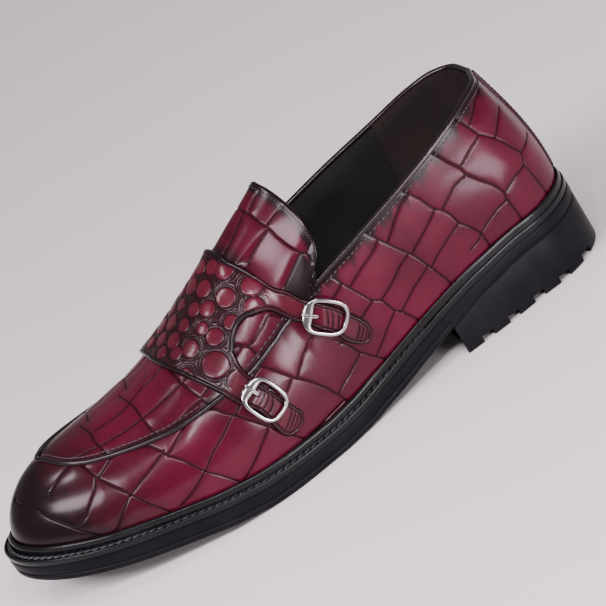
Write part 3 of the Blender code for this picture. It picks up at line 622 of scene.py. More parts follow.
def threads(path, normal, length, half_wide, half_high, slant=0.0):
    """Stitches along a path, one at each of its points, as one sheet each. A stitch is an
    ellipsoid: along it the cosine of an angle times half its length, across and up the sine
    times its half width and height. Slant turns it in the surface."""
    ahead = np.gradient(path, axis=0)
    ahead /= np.linalg.norm(ahead, axis=1, keepdims=True)
    side = np.cross(normal, ahead)
    ahead, side = (ahead * math.cos(slant) + side * math.sin(slant),
                   side * math.cos(slant) - ahead * math.sin(slant))
    a = np.linspace(0, np.pi, 6)[:, None, None]
    b = np.linspace(0, 2 * np.pi, 6, endpoint=False)[None, :, None]
    along_it, over, high = length / 2 * np.cos(a), np.sin(a) * np.cos(b), np.sin(a) * np.sin(b)
    return [sheet(p + d * along_it + q * over * half_wide + n * high * half_high, wrap_v=True)
            for p, d, q, n in zip(path, ahead, side, normal)]


def braid_path():
    """The middle of the channel from the outer waist round the toe to the inner waist."""
    turns = even_turns(float(turn_at(BRAID_FROM)), 2 - float(turn_at(BRAID_FROM)), BRAID_PITCH)
    width = last("inset", turns)
    inner = bead_inside(turns) + (BEAD_SHARE * width)
    middle = (inner + 0.80 * width) / 2
    flat = feather(turns) + outward(turns) * middle[:, None]
    return np.column_stack([flat, sole_height("lip", turns) - 0.1])


WELT_RUBBER = rubber_material("welt_rubber", (0.0025, 0.0030, 0.0036), (0.0060, 0.0068, 0.0080),
                              0.22, 0.08, 0.20)
make_piece("welt_ring", [sheet(welt_ring(side_turns(0.9)), wrap_u=True, wrap_v=True)],
           WELT_RUBBER, ("welt",), crease=50)
BRAID_THREAD = rubber_material("braid_thread", (0.012, 0.012, 0.014), (0.034, 0.035, 0.038),
                               0.32, 0.3, 0.3)
BRAID = braid_path()
make_piece("welt_braid", threads(BRAID, np.tile([0, 0, 1.0], (len(BRAID), 1)),
                                 4.4, 0.85, 0.7, 0.36), BRAID_THREAD)

# ---- insole and lining ---------------------------------------------------------------------------
# Smooth black lining leather glued inside the upper, a brown heel counter lining over it, and a
# black insole. The lining follows the upper one wall's thickness inside it.
WALL = 2.0
LINING_FOOT = 0.04      # t of its lower edge
COUNTER_FRONT = 63.0    # s of the counter lining's front edge
COUNTER_THICK = 0.5


def make_hide():
    """Node group: the fine look of plain leather. Pores are small dark Voronoi cells, folds
    are noise, and broad noise shades one colour into another."""
    group, given, out = node_group("plain_hide", (
        ("Place", None), ("Dark", NO_COLOUR), ("Light", NO_COLOUR), ("Roughness", 0.5)), SURFACE)
    broad = wire(group, "TexNoise", given["Place"], None, 32.0, 3.0, 0.55).outputs[0]
    cells = wire(group, "TexVoronoi", given["Place"], None, 900.0).outputs[0]
    fine = wire(group, "TexNoise", given["Place"], None, 620.0, 3.0, 0.6).outputs[0]
    shade = ramp(group, broad, ((0.35, 0.0), (0.7, 1.0)))
    group.links.new(mix_colour(group, shade, given["Dark"], given["Light"]), out["Colour"])
    group.links.new(math_node(group, "ADD", given["Roughness"],
                              math_node(group, "MULTIPLY", fine, 0.12)), out["Roughness"])
    group.links.new(math_node(group, "ADD", fine, math_node(group, "MULTIPLY", cells, 0.7)),
                    out["Height"])
    return group


PLAIN_HIDE = make_hide()


def hide_material(name, dark, light, roughness, bump):
    """Lining leather or thread from the plain_hide group."""
    material, tree, shader = new_material(name)
    hide = use_group(tree, PLAIN_HIDE, Place=placed_pattern(tree), Dark=(*dark, 1),
                     Light=(*light, 1), Roughness=roughness)
    finish(tree, shader, hide, bump)
    return material


LINING_BLACK = hide_material("lining_black", (0.0020, 0.0019, 0.0025), (0.0055, 0.0050, 0.0060),
                             0.60, 0.25)
COUNTER_BROWN = hide_material("counter_brown", (0.0070, 0.0032, 0.0025),
                              (0.013, 0.0062, 0.0045), 0.65, 0.3)
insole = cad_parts["insole"]
insole.data.materials.clear()
insole.data.materials.append(LINING_BLACK)


def inside_sheet(first, last_turn, depth, step):
    """Lining between two turns, from its foot to the topline, depth inside the upper."""
    turns = even_turns(first, last_turn, step)
    t = np.linspace(LINING_FOOT, 1, 40)[:, None]
    return sheet(skin_over(turns[None], t, -depth), flip=True)


make_piece("lining", [inside_sheet(0, 1, WALL, 3.0), inside_sheet(1, 2, WALL, 3.0)],
           LINING_BLACK)
counter_turn = float(turn_at(COUNTER_FRONT))
counter = [inside_sheet(0, counter_turn, WALL + COUNTER_THICK, 2.5),
           inside_sheet(2 - counter_turn, 2, WALL + COUNTER_THICK, 2.5)]
make_piece("counter_lining", counter, COUNTER_BROWN)

# ---- upper: quarters, vamp and apron -------------------------------------------------------------
# Burgundy calf, embossed with large crocodile plates: the hide is sunk along the grooves, and
# each plate is a little crowned. Toe, topline and seams are burnished black by hand.
# Toe and topline are burnished black by hand; the grooves and a band beside the apron seam are
# painted dark as shade.
SEAM_NAMES = ("s", "t")
SEAM_ROWS = (
    (0, 1.0), (125, 1.0), (132, 0.97), (136, 0.79), (140, 0.64), (143, 0.548), (146, 0.473),
    (148, 0.435), (150, 0.404), (153, 0.386), (158, 0.378), (164, 0.374), (168.8, 0.388),
    (172, 0.403), (180, 0.423), (190, 0.442), (200, 0.459), (212, 0.485), (225, 0.517),
    (240, 0.557), (254, 0.602), (265, 0.644), (275, 0.697), (289, 0.795), (297, 0.85), (305, 0.885),
)
GROOVE_DEPTH = 0.32
GROOVE_HALF = 0.42
PLATE_CROWN = 0.30
PLATE_ROUND = 3.0       # how far from a groove its plate has two thirds of its crown
GROOVE_REACH = 9.0      # beyond this a place counts as far from every groove
WALL_FOOT = 0.02
WALL_STEP = 0.46        # between the columns of the mesh, which has this many rows
WALL_ROWS = 112
APRON_STEP = 0.5
APRON_ROWS = 100
INNER_BACK = 5.0        # how much further back the inner side has the same grooves
APRON_INNER_BACK = 6.0
TOE_CAP_FROM = 234.0    # s where the black of the toe begins, and how far it takes to be full
TOE_CAP_FADE = 50.0
# Grooves of the wall as (s, t): those across the plates from the topline or seam down, then
# those along the shoe
WALL_GROOVES = (
    ((35.5, .98), (31.5, .87), (28.5, .775), (21.5, .66), (17, .545), (13.5, .44), (14.5, .41),
     (15.5, .365), (15, .32), (13, .16), (11, .02)),
    ((54, .98), (50, .84), (46, .73), (45, .665), (40, .55), (35, .45), (31.5, .335), (32, .29),
     (30.5, .155), (29, .02)),
    ((73, .97), (68.5, .825), (65, .67), (62, .62), (59.5, .535), (57.5, .43), (53.5, .335),
     (50, .23), (49, .13), (48, .02)),
    ((95, .98), (92, .87), (89.5, .785), (85.5, .645), (82.5, .55), (79, .39), (77.5, .33),
     (74, .165), (72, .02)),
    ((119, .96), (117.5, .88), (115.5, .77), (113, .665), (108.5, .505), (104, .44), (101.5, .315),
     (98.5, .255), (95, .13), (93, .02)),
    ((131, .43), (128.5, .375), (124.5, .26), (121, .19), (116.5, .10), (114, .02)),
    ((170.5, .40), (166.5, .365), (161, .295), (156.5, .24), (154, .22), (150, .188), (145, .143),
     (141.5, .09), (139, .02)),
    ((198, .455), (195, .425), (192, .375), (188, .328), (184, .275), (178, .198), (171.5, .105),
     (167.5, .058), (164, .02)),
    ((233, .535), (229.5, .497), (224, .393), (219.5, .323), (213, .205), (208.5, .152),
     (202.5, .07), (199, .02)),
    ((268, .655), (266, .615), (263, .557), (259.5, .492), (254, .398), (248, .292), (243, .198),
     (237, .09), (233, .02)),
    ((305, .51), (300, .475), (293.5, .43), (289.5, .37), (282.5, .275), (277.5, .203),
     (271.5, .135), (264, .02)),
    ((10, .95), (19.5, .93), (24.5, .90), (31, .87)), ((7, .76), (14, .725), (21.5, .665)),
    ((3, .46), (13.5, .445)), ((28.5, .775), (37.5, .76), (46, .735)),
    ((15.5, .37), (22, .367), (31.5, .33)), ((45.5, .66), (52.5, .675), (58, .645), (62, .625)),
    ((32, .28), (38.5, .275), (43, .26), (50, .23)),
    ((64.5, .675), (70, .635), (77, .595), (83, .565)),
    ((57.5, .43), (64.5, .413), (74.5, .37), (78, .34)),
    ((71, .93), (77, .915), (82, .873), (89.5, .79)),
    ((92, .87), (96, .83), (104.5, .77), (113.5, .69)), ((50, .23), (52, .20), (58, .19)),
    ((84, .585), (90, .573), (97, .505), (104.5, .45)), ((78.5, .375), (89.5, .338), (99.5, .265)),
    ((115.5, .765), (120, .728), (130, .67)),
    ((107.5, .49), (115, .443), (121.5, .405), (130, .385)),
    ((101.5, .31), (107, .258), (112, .21), (119, .155)),
    ((140.5, .42), (145.5, .325), (150, .26), (155, .225)),
    ((156.5, .24), (161.5, .217), (166.5, .205), (174, .15)), ((124, .25), (132, .195), (142, .10)),
    ((141.5, .065), (148, .055), (157.5, .043), (165, .035)),
    ((166, .36), (171, .378), (176, .378), (183.5, .35), (188.5, .328)),
    ((189.5, .34), (196.5, .305), (205.5, .263), (213, .205)),
    ((177.5, .19), (185, .15), (192, .105), (201, .05)), ((211, .475), (218, .438), (224.5, .395)),
    ((213.5, .205), (222.5, .14), (230, .09)),
    ((225, .43), (235, .375), (240.5, .343), (248.5, .285)), ((250.5, .58), (259.5, .50)),
    ((261, .51), (263, .43), (270.5, .275), (277, .205)),
    ((248, .295), (254.5, .205), (257, .163), (262, .08)), ((275, .68), (280.5, .63), (287, .54)),
)
# Grooves of the apron on the outer side; the inner side has them again a little further back
APRON_GROOVES = (
    ((269, 1.0), (261, .868), (257.5, .75), (255, .695), (252, .60)),
    ((238, 1.0), (232.5, .87), (229.5, .777), (228.5, .698), (226.5, .595), (224.5, .53)),
    ((209, 1.0), (207, .88), (205, .797), (204, .723), (202.5, .652), (200, .575), (196, .46)),
    ((188, .65), (198.5, .665), (213.5, .685), (229, .69), (239, .69), (255, .705), (261, .718),
     (274, .725)),
    ((207, .87), (216, .883), (222.5, .888), (232, .86)),
    ((232.5, .85), (238.5, .838), (246, .843), (260.5, .855)),
    ((186, .53), (199, .512), (206, .522), (214, .52)),
    ((146, .50), (152.5, .47), (157, .455), (162.5, .453), (166, .455)),
    ((173.5, .55), (170.5, .527), (169, .497), (166, .455), (165, .40)), ((169, .497), (176, .52)),
)
BURGUNDY = (0.072, 0.0027, 0.0146)
BURGUNDY_DEEP = (0.036, 0.0013, 0.0068)
# The black that burnish and painted shade mix in; the painted shade lies in the grooves, beside the
# apron seam and along the strap's edge on the tongue
BURNISH_AND_SHADE_BLACK = (0.0060, 0.0025, 0.0032)
SEAM = columns(SEAM_NAMES, SEAM_ROWS)


def seam_t(turn):
    """t of the seam between wall and apron, from its table at the place's s."""
    return smooth(SEAM["s"], SEAM["t"], along(turn))


def laid(places, side, back=0.0):
    """A line of places (s, t) laid on the upper: between two of them the turn and t run
    evenly, in steps of about a millimetre. Side is 1 outside and -1 inside."""
    places = np.array(places, float)
    places[:, 0] = np.clip(places[:, 0] - back, 0.2, LENGTH)
    turn = turn_at(places[:, 0])
    run = np.append(0, np.cumsum(np.hypot(np.diff(places[:, 0]), 90 * np.diff(places[:, 1]))))
    fine = np.linspace(0, run[-1], max(4, int(run[-1] / 1.2)))
    turn = np.interp(fine, run, turn)
    return skin(turn if side > 0 else 2 - turn, np.interp(fine, run, places[:, 1]))


def nearest(points, lines, reach=GROOVE_REACH):
    """Distance from each point to the nearest line, no more than reach, and that nearest
    place. On each short stretch it is the point's projection, kept between the ends."""
    flat = points.reshape(-1, 3)
    best = np.full(len(flat), float(reach))
    spot = flat.copy()
    for line in lines:
        for a, b in zip(line, line[1:]):
            low, high = np.minimum(a, b) - reach, np.maximum(a, b) + reach
            near = np.flatnonzero(((flat > low) & (flat < high)).all(1))
            run = b - a
            share = np.clip((flat[near] - a) @ run / max(run @ run, 1e-9), 0, 1)
            foot = a + share[:, None] * run
            gap = np.linalg.norm(flat[near] - foot, axis=1)
            closer = gap < best[near]
            best[near[closer]] = gap[closer]
            spot[near[closer]] = foot[closer]
    return best.reshape(points.shape[:-1]), spot.reshape(points.shape)


def embossing(points, lines, near, free=1.0):
    """Plates pressed into a surface. Points within near of a groove, where they are free, are
    moved onto it. The hide sinks by a bell curve along the groove, and each plate rises by an
    exponential of the distance to it. Returns the points, the rise and the distances."""
    gap, spot = nearest(points, lines)
    pull = np.clip(1.7 - gap / near, 0, 1) * free
    points = points + (spot - points) * pull[..., None]
    gap = gap * (1 - pull)
    rise = (-PLATE_CROWN * np.exp(-gap / PLATE_ROUND)
            - GROOVE_DEPTH * np.exp(-(gap / GROOVE_HALF) ** 2))
    return points, rise[..., None], gap


def embossed(turn, t, lines):
    """A stretch of the upper with its plates, and the distances to their grooves."""
    points, rise, gap = embossing(skin(turn, t), lines, 0.25)
    return points + skin_normal(turn, t) * rise, gap


def make_croc():
    """Node group: tones of embossed, polished leather. Near a groove the colour goes dark, as
    painted shade in the recess, and the shine goes; the mask of burnish and painted shade,
    from 0 to 1 and broken up by noise, blackens it. Broad noise clouds the burgundy. Fine
    noise, pores and a lip beside each groove give the height."""
    group, given, out = node_group("croc_tones", (
        ("Place", None), ("Groove", 1.0), ("Burnish", 0.0), ("Light", NO_COLOUR),
        ("Deep", NO_COLOUR), ("Black", NO_COLOUR), ("Roughness", 0.25), ("Lip", 1.0)),
        (*SURFACE, ("Shine", 0)))
    broad = wire(group, "TexNoise", given["Place"], None, 26.0, 3.0, 0.5).outputs[0]
    mottle = wire(group, "TexNoise", given["Place"], None, 170.0, 4.0, 0.65).outputs[0]
    pores = wire(group, "TexVoronoi", given["Place"], None, 1500.0).outputs[0]
    clouds = math_node(group, "ADD", math_node(group, "MULTIPLY", broad, 0.75),
                       math_node(group, "MULTIPLY", mottle, 0.25))
    clouds = ramp(group, clouds, ((0.34, 1.0), (0.62, 0.0)))
    tone = mix_colour(group, clouds, given["Light"], given["Deep"])
    # Painted shade: the colour goes nearly black in a groove and fades back over a few millimetres
    # beside it
    dark = ramp(group, given["Groove"], ((0.0, 0.97), (0.022, 0.85), (0.05, 0.38), (0.12, 0.17),
                                         (0.30, 0.06), (0.55, 0.0)))
    tone = mix_colour(group, dark, tone, given["Black"])
    # The mask of burnish and painted shade, broken up by noise, turns the colour black
    worn = math_node(group, "ADD", given["Burnish"],
                     math_node(group, "MULTIPLY", math_node(group, "SUBTRACT", mottle, 0.5),
                               math_node(group, "MULTIPLY", given["Burnish"], 0.9)))
    worn = ramp(group, worn, ((0.0, 0.0), (0.85, 1.0)))
    group.links.new(mix_colour(group, worn, tone, given["Black"]), out["Colour"])
    rough = math_node(group, "ADD", given["Roughness"], math_node(group, "MULTIPLY", mottle, 0.10))
    rough = math_node(group, "ADD", rough, math_node(group, "MULTIPLY", dark, 0.12))
    group.links.new(rough, out["Roughness"])
    group.links.new(math_node(group, "SUBTRACT", 1.0, dark), out["Shine"])
    lip = ramp(group, given["Groove"], ((0.045, 0.0), (0.085, 1.0), (0.15, 0.0)))
    grain = math_node(group, "ADD", math_node(group, "MULTIPLY", mottle, 0.8),
                      math_node(group, "MULTIPLY", pores, 0.25))
    group.links.new(math_node(group, "ADD", grain, math_node(group, "MULTIPLY", lip, given["Lip"])),
                    out["Height"])
    return group


CROC_TONES = make_croc()


def croc_material(name, light, deep, roughness, bump, coat, shine, lip=2.2):
    """Polished leather from the croc_tones group, under a clear wax coat that is worn away
    in the grooves."""
    material, tree, shader = new_material(name)
    groove, burnish = (wire(tree, "Attribute", attribute_name=mask).outputs["Fac"]
                       for mask in ("groove", "burnish"))
    tones = use_group(tree, CROC_TONES, Place=placed_pattern(tree), Groove=groove, Burnish=burnish,
                      Light=(*light, 1), Deep=(*deep, 1), Black=(*BURNISH_AND_SHADE_BLACK, 1),
                      Roughness=roughness, Lip=lip)
    finish(tree, shader, tones, bump)
    tree.links.new(math_node(tree, "MULTIPLY", tones["Shine"], coat), shader.inputs["Coat Weight"])
    shader.inputs["Coat Roughness"].default_value = 0.19
    shader.inputs["Specular IOR Level"].default_value = shine
    shader.inputs["Specular Tint"].default_value = (1.0, 0.84, 0.95, 1)
    return material


def fade(distance, wide):
    """1 on a line, falling to 0 as a smooth step over a width."""
    k = np.clip(1 - np.asarray(distance, float) / wide, 0, 1)
    return k * k * (3 - 2 * k)


def seam_line(side):
    """Places along the apron seam of one side, about a millimetre apart."""
    turn = even_turns(float(turn_at(143)), 1, 1.0)
    turn = turn if side > 0 else 2 - turn
    return skin(turn, seam_t(turn))


def topline(side):
    """Places along the topline of one side, about a millimetre apart."""
    turn = even_turns(0, float(turn_at(133)), 1.0)
    return skin(turn if side > 0 else 2 - turn, 1.0)


def burnish(points, turn, t, side):
    """How black the leather is: burnished over the toe, under the topline and down at the welt,
    and painted shade in a band on the apron beside its seam, each faded with distance; the
    darkest of them counts. The black of the toe grows evenly with s, sooner low down. Under
    the topline its width is the sum of a number and two sines of the place, which makes its
    edge ragged."""
    s, z = points[..., 0], points[..., 2]
    toe = np.clip((s + 0.20 * (58 - z) - TOE_CAP_FROM) / TOE_CAP_FADE, 0, 1)
    low = fade(t * 55, 4.0) * 0.5
    above = np.clip((t - seam_t(turn)) * 40, 0.12, 1)
    # Painted shade: a dark band on the apron along the piping, where the seam's groove lies in
    # shade
    seam = fade(nearest(points, [seam_line(side)], 12.0)[0] - 1.0, 3.0) * 0.85 * above
    ragged = 7 + 2.5 * np.sin(0.55 * s) + 1.5 * np.sin(1.31 * s + 0.2 * z)
    top = fade(nearest(points, [topline(side)], 14.0)[0] - 1.0, ragged) * 0.98
    return np.maximum.reduce([toe, low, seam, top])


def wall_sheet(side):
    """Quarter and vamp wall of one side: heel to toe along u, foot to seam along v."""
    turns = even_turns(0.0, 1.0, WALL_STEP)
    turns = turns if side > 0 else 2 - turns
    t = WALL_FOOT + (seam_t(turns) - WALL_FOOT) * np.linspace(0, 1, WALL_ROWS)[:, None]
    turn = np.broadcast_to(turns, t.shape)
    lines = [laid(groove, side, 0 if side > 0 else INNER_BACK) for groove in WALL_GROOVES]
    points, gap = embossed(turn, t, lines)
    points = np.concatenate([points, skin_over(turn[-1:], t[-1:], -0.8)])      # turned in, a hem
    turn, t, gap = (np.vstack([rows, rows[-1:]]) for rows in (turn, t, gap))
    return sheet(points, flip=side < 0, groove=gap / GROOVE_REACH,
                 burnish=burnish(points, turn, t, side))


def apron_sheets():
    """The apron and the vamp under the strap, a half on each side of the ridge."""
    halves = []
    for side in (1, -1):
        turns = even_turns(float(turn_at(126)), 1, APRON_STEP)
        turns = turns if side > 0 else 2 - turns
        t = seam_t(turns) + (1 - seam_t(turns)) * np.linspace(0, 1, APRON_ROWS)[:, None]
        turn = np.broadcast_to(turns, t.shape)
        lines = [laid(groove, k, 0 if k > 0 else APRON_INNER_BACK)
                 for groove in APRON_GROOVES for k in (1, -1)]
        points, gap = embossed(turn, t, lines)
        halves.append(sheet(points, flip=side < 0, groove=gap / GROOVE_REACH,
                            burnish=burnish(points, turn, t, side)))
    return halves


BURGUNDY_CROC = croc_material("burgundy_croc", BURGUNDY, BURGUNDY_DEEP, 0.24, 0.10, 0.33, 0.05)
make_piece("wall_outer", [wall_sheet(1)], BURGUNDY_CROC, ("upper",))
make_piece("wall_inner", [wall_sheet(-1)], BURGUNDY_CROC)
make_piece("apron", apron_sheets(), BURGUNDY_CROC)

# ---- topline binding and apron seam --------------------------------------------------------------
# A thin black leather roll closes upper and lining along the topline, with a row of stitches
# just under it. A thicker black piping stands in the apron seam, stitched on the apron side.
BINDING_HALF = 1.35
PIPING_HALF = 1.25
STITCH_PITCH = 2.7
BLACK_PIPING = croc_material("black_piping", (0.0075, 0.0040, 0.0045), (0.0040, 0.0022, 0.0028),
                             0.15, 0.05, 0.35, 0.22)
DARK_THREAD = hide_material("dark_thread", (0.017, 0.011, 0.013), (0.045, 0.030, 0.034), 0.45, 0.2)


def rope(path, across_half, high_half, normal, taper=0.0):
    """A roll along a path: an ellipse round each of its points, square to the path. Taper is
    how many points at each end run down to nothing."""
    ahead = np.gradient(path, axis=0)
    ahead /= np.linalg.norm(ahead, axis=1, keepdims=True)
    side = np.cross(ahead, normal)
    side /= np.linalg.norm(side, axis=1, keepdims=True)
    rise = np.cross(side, ahead)
    a = np.linspace(0, 2 * np.pi, 14, endpoint=False)
    place_in = np.arange(len(path))
    slim = end_round(np.minimum(place_in, place_in[::-1]) / max(taper, 0.5))[:, None, None]
    points = path[:, None] + slim * (side[:, None] * np.cos(a)[:, None] * across_half
                                     + rise[:, None] * np.sin(a)[:, None] * high_half)
    return sheet(points, wrap_v=True, flip=True, groove=1.0, burnish=0.0)


def round_turns(s, step):
    """Turns from a place on the inner side back round the heel to it on the outer side."""
    first = float(turn_at(s))
    return np.concatenate([-even_turns(0, first, step)[:0:-1], even_turns(0, first, step)])


def wrapped(turns):
    """Turns below 0 as turns of the inner side: 2 is added."""
    return np.where(turns < 0, turns + 2, turns)


TOP_TURNS = wrapped(round_turns(133.5, 0.8))
top_middle = (skin(TOP_TURNS, 1.0) + skin_over(TOP_TURNS, 1.0, -WALL)) / 2
top_out = skin_normal(TOP_TURNS, 0.99)
make_piece("topline_binding", [rope(top_middle, BINDING_HALF, BINDING_HALF, top_out, 4)],
           BLACK_PIPING)
STITCH_TURNS = wrapped(round_turns(131, STITCH_PITCH))


def down_from_top(turns, drop):
    """t of the places drop millimetres under the topline."""
    length = np.linalg.norm(skin(turns, 1.0) - skin(turns, 0.95), axis=-1) / 0.05
    return 1 - drop / length


top_stitches = skin_over(STITCH_TURNS, down_from_top(STITCH_TURNS, 2.9), 0.12)
make_piece("topline_stitches", threads(top_stitches, skin_normal(STITCH_TURNS, 0.96),
                                       2.0, 0.30, 0.24, 0.12), DARK_THREAD)

seam_first = float(turn_at(138))
SEAM_TURNS = even_turns(seam_first, 2 - seam_first, 0.8)
seam_path = skin_over(SEAM_TURNS, seam_t(SEAM_TURNS), 0.35)
seam_out = skin_normal(SEAM_TURNS, seam_t(SEAM_TURNS))
make_piece("apron_piping", [rope(seam_path, PIPING_HALF, 1.35, seam_out, 6)], BLACK_PIPING)


def beside_seam(turns, over):
    """t of the places over millimetres up from the seam, on the apron."""
    t = seam_t(turns)
    length = np.linalg.norm(skin(turns, t + 0.02) - skin(turns, t), axis=-1) / 0.02
    return t + over / length


APRON_STITCHES = even_turns(seam_first, 2 - seam_first, 3.1)
stitch_t = beside_seam(APRON_STITCHES, 3.0)
make_piece("apron_stitches", threads(skin_over(APRON_STITCHES, stitch_t, 0.1),
                                     skin_normal(APRON_STITCHES, stitch_t), 2.5, 0.34, 0.26),
           DARK_THREAD)

# ---- tongue --------------------------------------------------------------------------------------
# The free tab of the apron: the same embossed leather, lined, with a burnished black edge and
# a stitch row just inside it. It stands up from the throat.
# The free edge: e runs across, from 0 at the middle to 1 at a corner
TONGUE_NAMES = ("e", "outer_s", "outer_w", "outer_z", "inner_s", "inner_w", "inner_z")
TONGUE_ROWS = (
    (0.0, 121.8, 0.0, 112.6, 121.8, 0.0, 112.6),
    (0.08, 121.4, 3.6, 112.2, 122.0, 3.5, 111.7),
    (0.2, 119.6, 9.0, 109.9, 122.0, 8.4, 108.8),
    (0.4, 116.8, 18.0, 103.0, 121.6, 16.2, 102.8),
    (0.6, 115.2, 25.0, 95.2, 121.0, 22.4, 96.4),
    (0.8, 115.6, 29.8, 86.4, 121.4, 26.0, 90.2),
    (0.9, 118.2, 32.4, 79.7, 124.0, 27.4, 84.6),
    (0.96, 121.0, 33.2, 76.4, 126.4, 27.9, 81.6),
    (1.0, 125.7, 33.8, 72.1, 129.0, 28.2, 79.8),
)
TONGUE_THICK = 2.2
# Where the leather goes under the strap, as places (s, t) of the outer and the inner side
START_NAMES = ("e", "outer_s", "outer_t", "inner_s", "inner_t")
START_ROWS = (
    (0.0, 160, 1.0, 160, 1.0), (0.2, 157.5, 0.90, 159.5, 0.92), (0.4, 152.5, 0.755, 158, 0.87),
    (0.6, 145.5, 0.745, 152.5, 0.86), (0.8, 139.5, 0.83, 145, 0.88), (1.0, 133, 0.865, 137, 0.90),
)
# Foot of the column that each e starts from at the throat
THROAT_ROWS = ((0.0, 152), (0.1, 149.6), (0.2, 147.9), (0.4, 145.0), (0.6, 141.5), (0.8, 137.0),
               (1.0, 132.0))
START_U = -0.5
START_PULL = 0.45       # how strongly the curve follows the upper at first
END_LEAN = 0.35         # how far it turns towards the throat's line at the free edge
# Grooves as places (e, u): u is 0 at the throat and 1 at the tongue's free edge
TONGUE_GROOVES = (
    ((-.98, .55), (-.4, .55), (-.10, .55), (.06, .56), (.19, .55), (.29, .53), (.41, .52),
     (.51, .475), (.58, .48), (.69, .52), (.75, .56), (.80, .65), (.89, .72)),
    ((.19, .55), (.17, .65), (.15, .78), (.14, 1.0)), ((.39, .52), (.39, .78), (.40, 1.0)),
    ((.81, .66), (.81, .95)), ((.25, -.4), (.22, .07), (.18, .28), (.14, .49), (.13, .555)),
    ((.49, -.4), (.48, -.20), (.44, .24), (.42, .52)), ((.75, -.4), (.75, .16), (.75, .56)),
    ((-.22, -.4), (-.24, .55)), ((-.5, -.4), (-.5, .55)), ((-.12, .55), (-.14, 1.0)),
    ((-.42, .55), (-.44, 1.0)),
)
TONGUE = columns(TONGUE_NAMES, TONGUE_ROWS)
START = columns(START_NAMES, START_ROWS)
THROAT = columns(("e", "s"), THROAT_ROWS)


def tongue_skin(e, u):
    """The tongue's face: for each e a cubic Hermite curve, which leaves a place under the
    strap along the upper, at u START_U, and comes to the free edge, at u 1, leaning towards
    the line from the throat. e is negative inside, where the start is sunk in the upper."""
    e, u = np.broadcast_arrays(np.asarray(e, float), np.asarray(u, float))
    size = np.abs(e)
    turn = turn_at(smooth(THROAT["e"], THROAT["s"], size))
    start_s, start_t = (np.where(e >= 0, smooth(START["e"], START["outer_" + name], size),
                                 smooth(START["e"], START["inner_" + name], size)) for name in "st")
    start_turn = np.where(e >= 0, turn_at(start_s), 2 - turn_at(start_s))
    outer, inner = [np.stack([smooth(TONGUE["e"], TONGUE[side + name], size) for name in "swz"], -1)
                    for side in ("outer_", "inner_")]
    end = np.where(e[..., None] >= 0, outer, inner * (1, -1, 1))
    start = skin_over(start_turn, start_t, 0.4 - 1.4 * np.clip(-e / 0.35, 0, 1))
    chord = end - start
    reach = np.linalg.norm(chord, axis=-1, keepdims=True)
    out = skin_normal(start_turn, start_t)
    leave = chord - out * (chord * out).sum(-1, keepdims=True)
    leave *= START_PULL * reach / np.linalg.norm(leave, axis=-1, keepdims=True)
    arrive = end - skin(np.where(e >= 0, turn, 2 - turn), 1.0)
    arrive *= reach / np.linalg.norm(arrive, axis=-1, keepdims=True)
    arrive = chord + END_LEAN * (arrive - chord)
    k = ((u - START_U) / (1 - START_U))[..., None]
    return (start * (2 * k ** 3 - 3 * k ** 2 + 1) + leave * (k ** 3 - 2 * k ** 2 + k)
            + end * (3 * k ** 2 - 2 * k ** 3) + arrive * (k ** 3 - k ** 2))


def tongue_normal(e, u):
    """Unit normal of the face, upwards: the cross product of its two directions."""
    e, u = np.broadcast_arrays(np.asarray(e, float), np.asarray(u, float))
    low, high = np.clip(u - 0.02, START_U, 1), np.clip(u + 0.02, START_U, 1)
    over = tongue_skin(np.clip(e + 0.02, -1, 1), u) - tongue_skin(np.clip(e - 0.02, -1, 1), u)
    n = np.cross(over, tongue_skin(e, high) - tongue_skin(e, low))
    n /= np.linalg.norm(n, axis=-1, keepdims=True)
    return n * np.sign(n[..., 2:])


